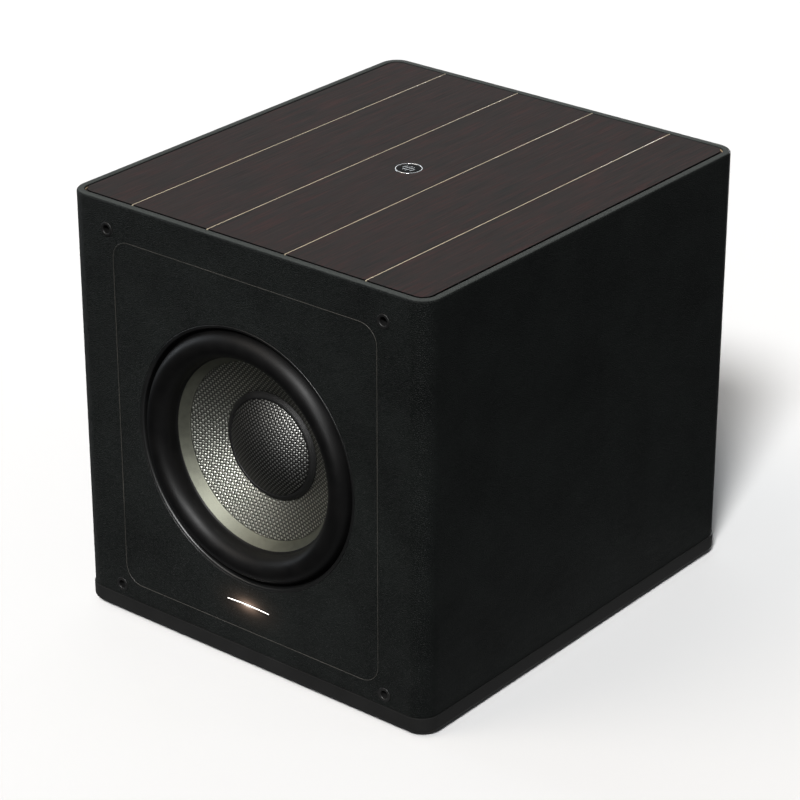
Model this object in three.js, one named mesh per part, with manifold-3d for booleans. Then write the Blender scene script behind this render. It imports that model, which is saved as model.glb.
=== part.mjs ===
// A powered subwoofer: a leather-wrapped box on a plinth, with an inset wooden top, a front-firing driver
// behind a leather fascia, and a plate amplifier in the back.
// Millimetres, +Z up. The front faces -Y, and +X is on the right of someone who looks at the front.
// The origin is on the floor, under the centre of the whole object's box.
import * as THREE from "three";
import { mergeVertices } from "three/addons/utils/BufferGeometryUtils.js";
import Module from "manifold-3d";

const wasm = await Module();
wasm.setup();

// ---------------------------------------------------------------- driving dimensions

const GAP = 0.3; // between neighbouring pieces: a glue line, or a running clearance
const FINE_GAP = 0.05; // beside an inlay strip

const CABINET = { width: 400, depth: 450, height: 404, edgeRadius: 18.6 };
const FOOT = { height: 4, radius: 20, inset: 52, tread: 2, flare: 1 };
const PLINTH = { height: 15.4, overhang: 1, lowerEdge: 4 };
const LEATHER = { thickness: 1.5, topEdge: 2.6 };
const WALL = { front: 28, side: 22, rear: 22, bottom: 22, top: 20 };

const TOP = { width: 384.8, depth: 435, radius: 12, thickness: 6.2, below: 0.3 };
const INLAY = { pitch: 86.8, width: 1, height: 1, count: 4 };
const BADGE = { radius: 12.5, rim: 1.8, proud: 0.3, pocket: 1.2 };

const FASCIA = { width: 296, height: 336.9, centreZ: 201.55, radius: 18, thickness: 4.5 };
const SOCKET = { x: 155, lowZ: 26.5, highZ: 377, radius: 6.8, hole: 3.8, depth: 14, floor: 2, rim: 0.4 };
const LIGHT = { z: 59, halfWidth: 24.4, sagitta: 0.9, thickness: 1, depth: 7, proud: 0.4 };
const LIGHT_POCKET = { width: 58, height: 14, floor: 13, board: 1.6 };

const DRIVER_Z = 202.3; // above the plinth's underside
const TRIM = { inner: 119.5, outer: 123, flange: 131, flangeTop: 5.1, back: 10.7, edge: 3.5 };
const SURROUND = { mid: 104.4, halfWidth: 13, rise: 16, foot: 10, skin: 1.8, outer: 119.2, inner: 87.6 };
const SURROUND_STEP = 1.4; // from the outer foot back to the inner one
const CONE = { edge: 90.5, edgeDepth: 12.9, band: 82.8, bandDepth: 21.6, slope: 0.4686, neck: 33.2 };
const CONE_SKIN = { band: 1.5, cone: 1.2 };
const CAP = { radius: 50.6, depth: 36.2, dome: 45, domeDepth: 33, rise: 14, skin: 1.5 };
const CAP_LIP = { width: 2.6, rise: 2.2 };
const FORMER = { radius: 32.3, wall: 0.5, start: 46.5, end: 105 };
const COIL = { start: 70, end: 104, wire: 1 };
const SPIDER = { depth: 60, outer: 69.5, waves: 3, amplitude: 2, skin: 0.8 };
const MOTOR = { plateFront: 81.8, plate: 10, gapRadius: 35, plateRadius: 76 };
const MAGNET = { radius: 78, hole: 42, height: 39.7 };
const POLE = { radius: 31.5, top: 80, vent: 9, yokeRadius: 74, yoke: 10 };
const BASKET = { flange: 4, mouth: 108, neck: 112, waist: 101, waistDepth: 38, shoulder: 81 };
const BASKET_CUP = { radius: 77, wall: 3.4, hole: 50 };
const SPIDER_LEDGE = { inner: 66, outer: 76.5 };
const BASKET_WINDOW = { count: 6, halfAngle: 22, inner: 60, outer: 125, margin: 5 };
const TERMINAL = { halfWidth: 15, low: 78, high: 96, thickness: 2.4, y: 69.4 };
const TAB = { x: 8, halfWidth: 3, back: 79, below: 3, thickness: 1 };

const AMP = { width: 262, height: 302, thickness: 4, radius: 6, z: 204, hole: 11, gasket: 2 };
const KNOB = { z: 112, pitch: 70, radius: 11, length: 14, shaft: 3, shaftDepth: 12 };
const JACK = { z: 60, firstX: -8, pitch: 34, nut: 6.5, barrel: 4.2, bore: 1.7, length: 9, tail: 10 };
const XLR = { x: -70, z: 60, width: 26, height: 31, flange: 2, barrel: 11.4, tail: 18 };
const XLR_SLOT = { inner: 7.9, outer: 9.6, depth: 9 };
const XLR_PIN = { radius: 1.3, circle: 4.2, above: 1, depth: 8 };
const LATCH = { width: 8, height: 3, proud: 2.3, length: 10, above: 12.2, play: 0.5 };
const SLIDER = { x: 100, z: 60, slot: 13, slotHeight: 4, button: 5, proud: 3.5 };
const HEATSINK = { width: 226, height: 66, z: -10, base: 4, fin: 9, pitch: 9, finWidth: 2.4 };
const INLET = { x: -85, z: -100, width: 30, height: 48, flange: 2.5, tail: 21, wall: 1.6 };
const INLET_CAVITY = { width: 24.6, height: 16.6, depth: 16, z: 9 };
const DRAWER = { width: 22, height: 9, depth: 17, z: -13 };
const ROCKER = { x: -40, z: -100, width: 15, height: 24, tilt: 8, pivot: -4 };
const BEZEL = { width: 22, height: 32, flange: 2.2, tail: 11 };
const TRANSFORMER = { x: 58, z: -88, ring: 31, section: 17, height: 42 };
const BOARD = { width: 224, low: 28, high: 134, front: 26, thickness: 1.6 };

const BRACE = { front: 0, thickness: 18, border: 30, bar: 40 };
const LINING = { thickness: 14, front: 16, back: 16 };
const CABLE = { radius: 2.6, sides: 8, steps: 28 };

const PROUD_FRONT = SURROUND.rise - SURROUND.foot;
const CABINET_Y = (PROUD_FRONT - KNOB.length) / 2; // centres the whole box on the origin

const ROUND = { fine: 36, medium: 20, small: 12 };
const CORNER_STEPS = 4;

// ---------------------------------------------------------------- materials

function finish(color, roughness, metalness = 0) {
  return new THREE.MeshStandardMaterial({ color, roughness, metalness });
}

const LOOK = {
  leather: finish(0x1b1e1e, 0.55),
  plinth: finish(0x222322, 0.6),
  ebony: finish(0x2d2624, 0.45),
  maple: finish(0xb9a884, 0.5),
  board: finish(0x8a6d4b, 0.85),
  rubber: finish(0x131414, 0.5),
  satinBlack: finish(0x17181a, 0.4, 0.3),
  chrome: finish(0xd6d8da, 0.12, 1),
  darkMetal: finish(0x3a3c3f, 0.35, 1),
  band: finish(0x9a988c, 0.4, 0.6),
  weave: finish(0x6e6c64, 0.45, 0.3),
  darkWeave: finish(0x35373a, 0.4, 0.3),
  light: finish(0xfff1d8, 0.3),
  castAlloy: finish(0x2a2b2d, 0.5, 0.8),
  steel: finish(0x8d9094, 0.35, 1),
  ferrite: finish(0x3b3b3d, 0.7),
  copper: finish(0xb06a3a, 0.35, 1),
  cloth: finish(0xb59a62, 0.9),
  wadding: finish(0xc9cac8, 0.95),
  circuit: finish(0x1f5a35, 0.5),
  anodised: finish(0x202224, 0.45, 0.7),
  plastic: finish(0x1a1b1c, 0.45),
  foam: finish(0x26272a, 0.9),
};

// ---------------------------------------------------------------- solids

// A geometry's solid. What is a solid already comes back as it is.
function asSolid(shape) {
  if (shape instanceof wasm.Manifold) return shape;
  const bare = shape.clone();
  bare.deleteAttribute("normal");
  bare.deleteAttribute("uv");
  const merged = mergeVertices(bare, 1e-4);
  const vertProperties = new Float32Array(merged.attributes.position.array);
  const triVerts = new Uint32Array(merged.index.array);
  return new wasm.Manifold(new wasm.Mesh({ numProp: 3, vertProperties, triVerts }));
}

function asGeometry(shape) {
  if (shape instanceof THREE.BufferGeometry) return shape;
  const { vertProperties, triVerts } = shape.getMesh();
  const geometry = new THREE.BufferGeometry();
  geometry.setAttribute("position", new THREE.BufferAttribute(vertProperties, 3));
  geometry.setIndex(new THREE.BufferAttribute(triVerts, 1));
  geometry.computeVertexNormals();
  return geometry;
}

function cut(shape, ...tools) {
  return tools.reduce((solid, tool) => solid.subtract(asSolid(tool)), asSolid(shape));
}

function join(shape, ...others) {
  return others.reduce((solid, other) => solid.add(asSolid(other)), asSolid(shape));
}

function common(shape, other) {
  return asSolid(shape).intersect(asSolid(other));
}

// A box between two corners.
function block([x0, y0, z0], [x1, y1, z1]) {
  const box = new THREE.BoxGeometry(x1 - x0, y1 - y0, z1 - z0);
  return box.translate((x0 + x1) / 2, (y0 + y1) / 2, (z0 + z1) / 2);
}

function roundedRect(width, height, radius) {
  const x = width / 2 - radius;
  const y = height / 2 - radius;
  const shape = new THREE.Shape();
  shape.absarc(x, y, radius, 0, Math.PI / 2);
  shape.absarc(-x, y, radius, Math.PI / 2, Math.PI);
  shape.absarc(-x, -y, radius, Math.PI, Math.PI * 1.5);
  shape.absarc(x, -y, radius, Math.PI * 1.5, Math.PI * 2);
  shape.closePath();
  return shape;
}

function polygon(points) {
  return new THREE.Shape(points.map(([x, y]) => new THREE.Vector2(x, y)));
}

// A plan in X and Y, from z0 up to z1.
function riseZ(shape, z0, z1, curveSegments = CORNER_STEPS) {
  const options = { depth: z1 - z0, bevelEnabled: false, curveSegments };
  return new THREE.ExtrudeGeometry(shape, options).translate(0, 0, z0);
}

// An elevation in X and Z, from y0 back to y1.
function runY(shape, y0, y1, curveSegments = CORNER_STEPS) {
  return riseZ(shape, 0, y1 - y0, curveSegments).rotateX(Math.PI / 2).translate(0, y1, 0);
}

// A side view in Y and Z, from x0 to x1.
function runX(shape, x0, x1, curveSegments = CORNER_STEPS) {
  const sideways = new THREE.Matrix4().makeBasis(
    new THREE.Vector3(0, 1, 0),
    new THREE.Vector3(0, 0, 1),
    new THREE.Vector3(1, 0, 0),
  );
  return riseZ(shape, x0, x1, curveSegments).applyMatrix4(sideways);
}

function profileArea(points) {
  return points.reduce((sum, [r, y], i) => {
    const [nextR, nextY] = points[(i + 1) % points.length];
    return sum + (r * nextY - nextR * y) / 2;
  }, 0);
}

// A closed profile of [radius, y] points, turned about the Y axis.
function turn(points, segments = ROUND.fine) {
  const outward = profileArea(points) > 0 ? points : [...points].reverse();
  const start = outward.findIndex(([r], i) => r === 0 && outward.at(i - 1)[0] === 0);
  const ordered = start < 0
    ? [...outward, outward[0]]
    : [...outward.slice(start), ...outward.slice(0, start)];
  return new THREE.LatheGeometry(ordered.map(([r, y]) => new THREE.Vector2(r, y)), segments);
}

function ring(inner, outer, y0, y1, segments = ROUND.medium) {
  return turn([[inner, y0], [outer, y0], [outer, y1], [inner, y1]], segments);
}

function disc(radius, y0, y1, segments = ROUND.small) {
  return turn([[0, y0], [radius, y0], [radius, y1], [0, y1]], segments);
}

// A band of even thickness behind a polyline of [radius, depth] points that runs inwards.
function shellProfile(front, thickness) {
  const back = front.map((point, i) => {
    const a = front[Math.max(i - 1, 0)];
    const b = front[Math.min(i + 1, front.length - 1)];
    const [alongR, alongY] = [b[0] - a[0], b[1] - a[1]];
    const length = Math.hypot(alongR, alongY);
    const offset = [(alongY / length) * thickness, (-alongR / length) * thickness];
    const onAxis = point[0] === 0;
    return [onAxis ? 0 : point[0] + offset[0], point[1] + (onAxis ? thickness : offset[1])];
  });
  return [...front, ...back.reverse()];
}

function piece(name, shape, material, position = [0, 0, 0], rotation = [0, 0, 0]) {
  const mesh = new THREE.Mesh(asGeometry(shape), material.clone());
  mesh.name = name;
  mesh.position.set(...position);
  mesh.rotation.set(...rotation);
  return mesh;
}

function groupAt(position, ...children) {
  const group = new THREE.Group();
  group.position.set(...position);
  group.add(...children);
  return group;
}

// ---------------------------------------------------------------- cabinet
// Its own frame: the origin is at the centre of the plinth's underside.

const SKIN = LEATHER.thickness + GAP;
const FRONT = -CABINET.depth / 2;
const BACK = CABINET.depth / 2;
const BODY_LOW = PLINTH.height + GAP;
const RECESS_Z = CABINET.height - TOP.below - TOP.thickness - GAP;
const CORNERS = [[-1, -1], [1, -1], [-1, 1], [1, 1]];

// A rounded box whose top edge is rounded over and whose underside is flat.
function roundedBlock(inset, low, high, topEdge) {
  const width = CABINET.width - 2 * inset;
  const depth = CABINET.depth - 2 * inset;
  const shape = roundedRect(width, depth, CABINET.edgeRadius - inset);
  const options = {
    depth: high - low,
    bevelThickness: topEdge,
    bevelSize: topEdge,
    bevelOffset: -topEdge,
    bevelSegments: 3,
    curveSegments: CORNER_STEPS,
  };
  const rounded = new THREE.ExtrudeGeometry(shape, options).translate(0, 0, low - topEdge);
  return cut(rounded, block([-width, -depth, low - 2 * topEdge - 1], [width, depth, low]));
}

function topOpening(clearance, low) {
  const shape = roundedRect(TOP.width + 2 * clearance, TOP.depth + 2 * clearance, TOP.radius);
  return riseZ(shape, low, CABINET.height + 1);
}

function fasciaShape(clearance) {
  return roundedRect(FASCIA.width + 2 * clearance, FASCIA.height + 2 * clearance, FASCIA.radius + clearance);
}

function ampShape(clearance) {
  return roundedRect(AMP.width + 2 * clearance, AMP.height + 2 * clearance, AMP.radius);
}

function socketTools(radius, y0, y1) {
  const heights = [SOCKET.lowZ, SOCKET.highZ];
  return heights.flatMap((z) => [-1, 1].map((side) => disc(radius, y0, y1).translate(side * SOCKET.x, 0, z)));
}

function leatherWrap() {
  const { thickness, topEdge } = LEATHER;
  return cut(
    roundedBlock(0, BODY_LOW, CABINET.height, topEdge),
    roundedBlock(thickness, BODY_LOW - 1, CABINET.height - thickness, topEdge - thickness),
    topOpening(GAP, RECESS_Z),
    runY(fasciaShape(GAP), FRONT - 1, FRONT + SKIN + 1).translate(0, 0, FASCIA.centreZ),
    runY(ampShape(GAP), BACK - SKIN - 1, BACK + 1).translate(0, 0, AMP.z),
    ...socketTools(SOCKET.radius + GAP, FRONT - 1, FRONT + SKIN + 1),
  );
}

// The four walls together, before they are parted.
function wallBlock() {
  const box = roundedBlock(SKIN, BODY_LOW, CABINET.height - SKIN, LEATHER.topEdge - SKIN);
  return cut(box, topOpening(GAP, RECESS_Z));
}

const WALLS = wallBlock();
const FRONT_INNER = FRONT + SKIN + WALL.front;
const BACK_INNER = BACK - SKIN - WALL.rear;
const SIDE_INNER = CABINET.width / 2 - SKIN - WALL.side;
const WIDE = CABINET.width;
const TALL = CABINET.height;

function frontBaffle() {
  const wall = common(WALLS, block([-WIDE, FRONT, 0], [WIDE, FRONT_INNER, TALL]));
  const fasciaFloor = FRONT + FASCIA.thickness + GAP;
  const flangeFloor = FRONT + TRIM.back + BASKET.flange + 2 * GAP;
  const lightPocket = block(
    [-LIGHT_POCKET.width / 2, FRONT, LIGHT.z - LIGHT_POCKET.height / 2],
    [LIGHT_POCKET.width / 2, FRONT + LIGHT_POCKET.floor, LIGHT.z + LIGHT_POCKET.height / 2],
  );
  return cut(
    wall,
    runY(fasciaShape(GAP), FRONT - 1, fasciaFloor).translate(0, 0, FASCIA.centreZ),
    disc(TRIM.flange + GAP, FRONT - 1, flangeFloor, ROUND.fine).translate(0, 0, DRIVER_Z),
    disc(BASKET.neck + GAP, FRONT - 1, FRONT_INNER + 1, ROUND.fine).translate(0, 0, DRIVER_Z),
    lightPocket,
    ...socketTools(SOCKET.radius + GAP, FRONT - 1, FRONT + SOCKET.depth + GAP),
  );
}

function rearPanel() {
  const wall = common(WALLS, block([-WIDE, BACK_INNER, 0], [WIDE, BACK, TALL]));
  const floor = BACK - AMP.thickness - AMP.gasket - 2 * GAP;
  return cut(
    wall,
    runY(ampShape(GAP), floor, BACK + 1).translate(0, 0, AMP.z),
    runY(ampShape(-AMP.hole), BACK_INNER - 1, BACK + 1).translate(0, 0, AMP.z),
  );
}

function sideWall(side) {
  const [near, far] = [SIDE_INNER, CABINET.width / 2].map((x) => x * side).sort((a, b) => a - b);
  return common(WALLS, block([near, FRONT_INNER + GAP, 0], [far, BACK_INNER - GAP, TALL]));
}

// A board that lies flat between the four walls.
function innerBoard(low, high) {
  const x = SIDE_INNER - GAP;
  return block([-x, FRONT_INNER + GAP, low], [x, BACK_INNER - GAP, high]);
}

const BOTTOM_TOP = BODY_LOW + WALL.bottom;
const CEILING = RECESS_Z - WALL.top;

// Two windows, one above the other, with a bar between them.
function windowBrace() {
  const x = SIDE_INNER - GAP;
  const [low, high] = [BOTTOM_TOP + GAP, CEILING - GAP];
  const middle = (low + high) / 2;
  const windowX = x - BRACE.border;
  const lower = [low + BRACE.border, middle - BRACE.bar / 2];
  const upper = [middle + BRACE.bar / 2, high - BRACE.border];
  const back = BRACE.front + BRACE.thickness;
  return cut(
    block([-x, BRACE.front, low], [x, back, high]),
    ...[lower, upper].map(([z0, z1]) => block([-windowX, BRACE.front - 1, z0], [windowX, back + 1, z1])),
  );
}

// Wadding down both sides and across the ceiling, between the baffle and the brace.
function acousticLining() {
  const x = SIDE_INNER - GAP;
  const [low, high] = [BOTTOM_TOP + GAP, CEILING - GAP];
  const inner = x - LINING.thickness;
  const outline = polygon([
    [-x, low], [-inner, low], [-inner, high - LINING.thickness], [inner, high - LINING.thickness],
    [inner, low], [x, low], [x, high], [-x, high],
  ]);
  return runY(outline, FRONT_INNER + LINING.front, BRACE.front - LINING.back);
}

function plinth() {
  const width = CABINET.width + 2 * PLINTH.overhang;
  const depth = CABINET.depth + 2 * PLINTH.overhang;
  const edge = PLINTH.lowerEdge;
  const options = {
    depth: PLINTH.height - edge,
    bevelThickness: edge,
    bevelSize: edge,
    bevelOffset: -edge,
    bevelSegments: 2,
    curveSegments: CORNER_STEPS,
  };
  const shape = roundedRect(width, depth, CABINET.edgeRadius + PLINTH.overhang);
  const rounded = new THREE.ExtrudeGeometry(shape, options).translate(0, 0, edge);
  return cut(rounded, block([-width, -depth, PLINTH.height], [width, depth, PLINTH.height + 2 * edge]));
}

// A tapered rubber foot under the plinth.
function foot() {
  const { radius, height, tread, flare } = FOOT;
  return turnedZ(turn([
    [0, -height], [radius - tread, -height], [radius, flare - height], [radius, -GAP], [0, -GAP],
  ], ROUND.small));
}

const INLAY_X = Array.from({ length: INLAY.count }, (_, i) => (i - (INLAY.count - 1) / 2) * INLAY.pitch);
const TOP_SURFACE = CABINET.height - TOP.below;

function inlayStrip(clearance) {
  const halfWidth = INLAY.width / 2 + clearance;
  const halfLength = TOP.depth / 2 - GAP + 10 * clearance;
  return block([-halfWidth, -halfLength, -INLAY.height - clearance], [halfWidth, halfLength, clearance]);
}

function woodTop() {
  const slab = riseZ(roundedRect(TOP.width, TOP.depth, TOP.radius), TOP_SURFACE - TOP.thickness, TOP_SURFACE);
  const pocket = turnedZ(disc(BADGE.radius + GAP, 0, BADGE.pocket + 1, ROUND.medium));
  return cut(
    slab,
    ...INLAY_X.map((x) => inlayStrip(FINE_GAP).translate(x, 0, TOP_SURFACE)),
    pocket.translate(0, 0, TOP_SURFACE - BADGE.pocket),
  );
}

// Stands a piece that was turned about Y on the Z axis, with its +Y end up.
function turnedZ(geometry) {
  return geometry.rotateX(Math.PI / 2);
}

const BADGE_BASE = TOP_SURFACE - BADGE.pocket + GAP;

function badgeRing() {
  const high = BADGE.pocket - GAP + BADGE.proud;
  const [outer, inner] = [BADGE.radius, BADGE.radius - BADGE.rim];
  const edge = BADGE.rim / 3;
  return turnedZ(turn([
    [inner, 0], [outer, 0], [outer, high - edge],
    [outer - edge, high], [inner + edge, high], [inner, high - edge],
  ], ROUND.medium));
}

function badgeDisc() {
  const radius = BADGE.radius - BADGE.rim - GAP;
  const crown = BADGE.proud + 0.3;
  return turnedZ(turn([
    [0, 0], [radius, 0], [radius, BADGE.proud], [radius * 0.8, crown], [0, crown],
  ], ROUND.medium));
}

// A lined hole that a grille's peg pushes into. The mouth has a small raised rim.
function grilleSocket() {
  const { radius, hole, depth, floor, rim } = SOCKET;
  return turn([
    [0, depth], [radius, depth], [radius, 0], [radius - 2 * rim, -rim], [hole + 2 * rim, -rim],
    [hole, rim], [hole, depth - floor], [0, depth - floor],
  ], ROUND.small);
}

function lightArc(halfWidth, grow) {
  const radius = (LIGHT.halfWidth ** 2 + LIGHT.sagitta ** 2) / (2 * LIGHT.sagitta);
  const half = LIGHT.thickness / 2 + grow;
  const angle = Math.asin(halfWidth / radius);
  const up = Math.PI / 2;
  const shape = new THREE.Shape();
  shape.absarc(0, 0, radius + half, up - angle, up + angle);
  shape.absarc(0, 0, radius - half, up + angle, up - angle, true);
  shape.closePath();
  return { shape, drop: radius - LIGHT.sagitta / 2 };
}

function lightBar(grow, y0, y1) {
  const { shape, drop } = lightArc(LIGHT.halfWidth + grow, grow);
  return runY(shape, y0, y1, 8).translate(0, 0, LIGHT.z - drop);
}

function frontFascia() {
  const plate = runY(fasciaShape(0), FRONT, FRONT + FASCIA.thickness).translate(0, 0, FASCIA.centreZ);
  return cut(
    plate,
    disc(TRIM.outer + GAP, FRONT - 1, FRONT + FASCIA.thickness + 1, ROUND.fine).translate(0, 0, DRIVER_Z),
    lightBar(GAP, FRONT - 1, FRONT + FASCIA.thickness + 1),
  );
}

function lightBoard() {
  const x = LIGHT_POCKET.width / 2 - GAP - 1;
  const z = LIGHT_POCKET.height / 2 - GAP - 1;
  const front = FRONT + LIGHT.depth + 2 * GAP;
  return block([-x, front, LIGHT.z - z], [x, front + LIGHT_POCKET.board, LIGHT.z + z]);
}

// ---------------------------------------------------------------- driver
// Its own frame: +Y is the depth behind the cabinet's front face, and the axis of the cone is Y.

function trimRing() {
  const { inner, outer, flange, flangeTop, back, edge } = TRIM;
  const steps = 3;
  const rounded = Array.from({ length: steps + 1 }, (_, i) => {
    const angle = (i / steps) * (Math.PI / 2);
    return [inner + edge * (1 - Math.cos(angle)), edge * (1 - Math.sin(angle))];
  });
  return turn([[inner, back], ...rounded, [outer, flangeTop], [flange, flangeTop], [flange, back]]);
}

// A rolled rubber edge, with a flat foot on the basket and one on the cone.
function surround() {
  const { mid, halfWidth, rise, foot: base, skin, outer, inner } = SURROUND;
  const steps = 8;
  const roll = (grow) => Array.from({ length: steps + 1 }, (_, i) => {
    const angle = (i / steps) * Math.PI;
    return [mid + (halfWidth - grow) * Math.cos(angle), base - (rise - grow) * Math.sin(angle)];
  });
  const under = base + skin / 3;
  const top = base - skin / 2;
  return turn([
    [outer, under], [outer, top], ...roll(0).slice(1, -1),
    [inner, top + SURROUND_STEP], [inner, under + SURROUND_STEP],
    [mid - halfWidth, under + SURROUND_STEP / 2],
    ...roll(skin).reverse().slice(1, -1), [mid + halfWidth - skin, under],
  ], ROUND.fine);
}

function coneBand() {
  return turn(shellProfile([[CONE.edge, CONE.edgeDepth], [CONE.band, CONE.bandDepth]], CONE_SKIN.band));
}

function coneDepthAt(radius) {
  return CONE.bandDepth + GAP + (CONE.band - radius) * CONE.slope;
}

function cone() {
  const radii = [CONE.band - 2 * GAP, CONE.neck];
  return turn(shellProfile(radii.map((radius) => [radius, coneDepthAt(radius)]), CONE_SKIN.cone));
}

function dustCap() {
  const steps = 4;
  const { dome, domeDepth, rise } = CAP;
  const sphere = (dome ** 2 + rise ** 2) / (2 * rise);
  const crown = Array.from({ length: steps + 1 }, (_, i) => {
    const radius = dome * (1 - i / steps);
    return [radius, domeDepth - rise + sphere - Math.sqrt(sphere ** 2 - radius ** 2)];
  });
  const lip = [CAP.radius - CAP_LIP.width, CAP.depth - CAP_LIP.rise];
  return turn(shellProfile([[CAP.radius, CAP.depth], lip, ...crown], CAP.skin));
}

// A corrugated cloth disc that centres the coil.
function spider() {
  const count = 2 * SPIDER.waves;
  const inner = FORMER.radius + FORMER.wall + GAP;
  const points = Array.from({ length: count + 1 }, (_, i) => [
    SPIDER.outer + ((inner - SPIDER.outer) * i) / count,
    SPIDER.depth + (i % 2 === 0 ? 0 : -SPIDER.amplitude),
  ]);
  const back = points.map(([r, y]) => [r, y + SPIDER.skin]).reverse();
  return turn([...points, ...back], ROUND.medium);
}

function basket() {
  const { flange, mouth, neck, waist, waistDepth, shoulder } = BASKET;
  const { radius: cup, wall, hole } = BASKET_CUP;
  const landing = SPIDER.depth + SPIDER.skin + GAP;
  const seat = MOTOR.plateFront - GAP;
  const flangeFront = TRIM.back + GAP;
  const flangeBack = flangeFront + flange;
  const profile = [
    [mouth, flangeFront], [TRIM.flange, flangeFront], [TRIM.flange, flangeBack], [neck - 1, flangeBack],
    [waist, waistDepth], [shoulder, landing], [cup + 0.5, landing + wall], [cup, seat], [hole, seat],
    [hole, seat - wall], [cup - wall, seat - wall], [cup - wall, landing + wall],
    [SPIDER_LEDGE.inner, landing + wall / 2], [SPIDER_LEDGE.inner, landing], [SPIDER_LEDGE.outer, landing],
    [waist - wall, waistDepth - 1],
  ];
  const { count, halfAngle, inner, outer, margin } = BASKET_WINDOW;
  const half = THREE.MathUtils.degToRad(halfAngle);
  const sector = new THREE.Shape();
  sector.absarc(0, 0, outer, -half, half);
  sector.absarc(0, 0, inner, half, -half, true);
  sector.closePath();
  const windows = Array.from({ length: count }, (_, i) => (
    runY(sector, flangeBack + margin, landing - margin, 8).rotateY((i / count) * Math.PI * 2)
  ));
  return cut(turn(profile, ROUND.fine), ...windows);
}

const PLATE_BACK = MOTOR.plateFront + MOTOR.plate;
const MAGNET_BACK = PLATE_BACK + GAP + MAGNET.height;

// The rear plate and the pole in one piece, with a vent through both.
function yoke() {
  const front = MAGNET_BACK + GAP;
  const back = front + POLE.yoke;
  return turn([
    [POLE.vent, POLE.top], [POLE.radius, POLE.top], [POLE.radius, front],
    [POLE.yokeRadius, front], [POLE.yokeRadius, back], [POLE.vent, back],
  ], ROUND.medium);
}

const TAB_TOP = TERMINAL.high - TAB.below;

// An insulating strip on the basket, with a push-on tab for each conductor.
function terminalStrip() {
  const { halfWidth, low, high, thickness, y } = TERMINAL;
  const strip = block([-halfWidth, y - thickness, low], [halfWidth, y, high]);
  const tabs = [-TAB.x, TAB.x].map((x) => (
    block([x - TAB.halfWidth, y - 1, TAB_TOP - TAB.thickness], [x + TAB.halfWidth, TAB.back, TAB_TOP])
  ));
  return join(strip, ...tabs);
}

function driver() {
  const outside = FORMER.radius + FORMER.wall;
  const wound = outside + GAP;
  return groupAt(
    [0, FRONT, DRIVER_Z],
    piece("driver_trim_ring", trimRing(), LOOK.satinBlack),
    piece("driver_basket", basket(), LOOK.castAlloy),
    piece("surround", surround(), LOOK.rubber),
    piece("cone_band", coneBand(), LOOK.band),
    piece("cone", cone(), LOOK.weave),
    piece("dust_cap", dustCap(), LOOK.darkWeave),
    piece("coil_former", ring(FORMER.radius, outside, FORMER.start, FORMER.end), LOOK.steel),
    piece("voice_coil", ring(wound, wound + COIL.wire, COIL.start, COIL.end), LOOK.copper),
    piece("spider", spider(), LOOK.cloth),
    piece("front_plate", ring(MOTOR.gapRadius, MOTOR.plateRadius, MOTOR.plateFront, PLATE_BACK), LOOK.steel),
    piece("magnet", ring(MAGNET.hole, MAGNET.radius, PLATE_BACK + GAP, MAGNET_BACK), LOOK.ferrite),
    piece("yoke_and_pole", yoke(), LOOK.steel),
    piece("terminal_strip", terminalStrip(), LOOK.plastic),
  );
}

// ---------------------------------------------------------------- amplifier
// Its own frame: the origin is at the middle of the plate's outer face, and +Y points out of the back.

const KNOB_X = [-KNOB.pitch, 0, KNOB.pitch];
const JACK_X = [0, 1, 2].map((i) => JACK.firstX + i * JACK.pitch);
const CONTROL_GAP = 2 * GAP;

function ampPlate() {
  const through = [-AMP.thickness - 1, 1];
  const hole = (radius, x, z, segments) => disc(radius, ...through, segments).translate(x, 0, z);
  const slot = (width, height, x, z) => (
    block([x - width / 2, through[0], z - height / 2], [x + width / 2, through[1], z + height / 2])
  );
  return cut(
    runY(ampShape(0), -AMP.thickness, 0),
    ...KNOB_X.map((x) => hole(KNOB.shaft + 0.6, x, KNOB.z)),
    ...JACK_X.map((x) => hole(JACK.barrel + GAP, x, JACK.z)),
    hole(XLR.barrel + GAP, XLR.x, XLR.z, ROUND.medium),
    slot(LATCH.width + 1, LATCH.height + 1, XLR.x, XLR.z + LATCH.above),
    slot(SLIDER.slot, SLIDER.slotHeight, SLIDER.x, SLIDER.z),
    slot(INLET.width - 1.4, INLET.height - 1.4, INLET.x, INLET.z),
    slot(BEZEL.width - 1.4, BEZEL.height - 1.4, ROCKER.x, ROCKER.z),
  );
}

function ampGasket() {
  const [front, back] = [-AMP.thickness - GAP - AMP.gasket, -AMP.thickness - GAP];
  return cut(runY(ampShape(0), front, back), runY(ampShape(-AMP.hole), front - 1, back + 1));
}

// A turned knob on its shaft, with a pointer groove across the top of its face.
function knob() {
  const { radius, length, shaft, shaftDepth } = KNOB;
  const body = turn([
    [0, -shaftDepth], [shaft, -shaftDepth], [shaft, CONTROL_GAP], [radius, CONTROL_GAP],
    [radius - 0.6, length - 1], [radius - 1.6, length], [0, length],
  ], ROUND.medium);
  return cut(body, block([-0.5, length - 0.7, 3], [0.5, length + 1, radius + 1]));
}

function rcaJack() {
  const { nut, barrel, bore, length, tail } = JACK;
  return turn([
    [0, -tail], [barrel, -tail], [barrel, GAP], [nut, GAP], [nut, 2.2], [barrel, 2.2],
    [barrel, length], [bore, length], [bore, 1], [0, 1],
  ], ROUND.small);
}

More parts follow.
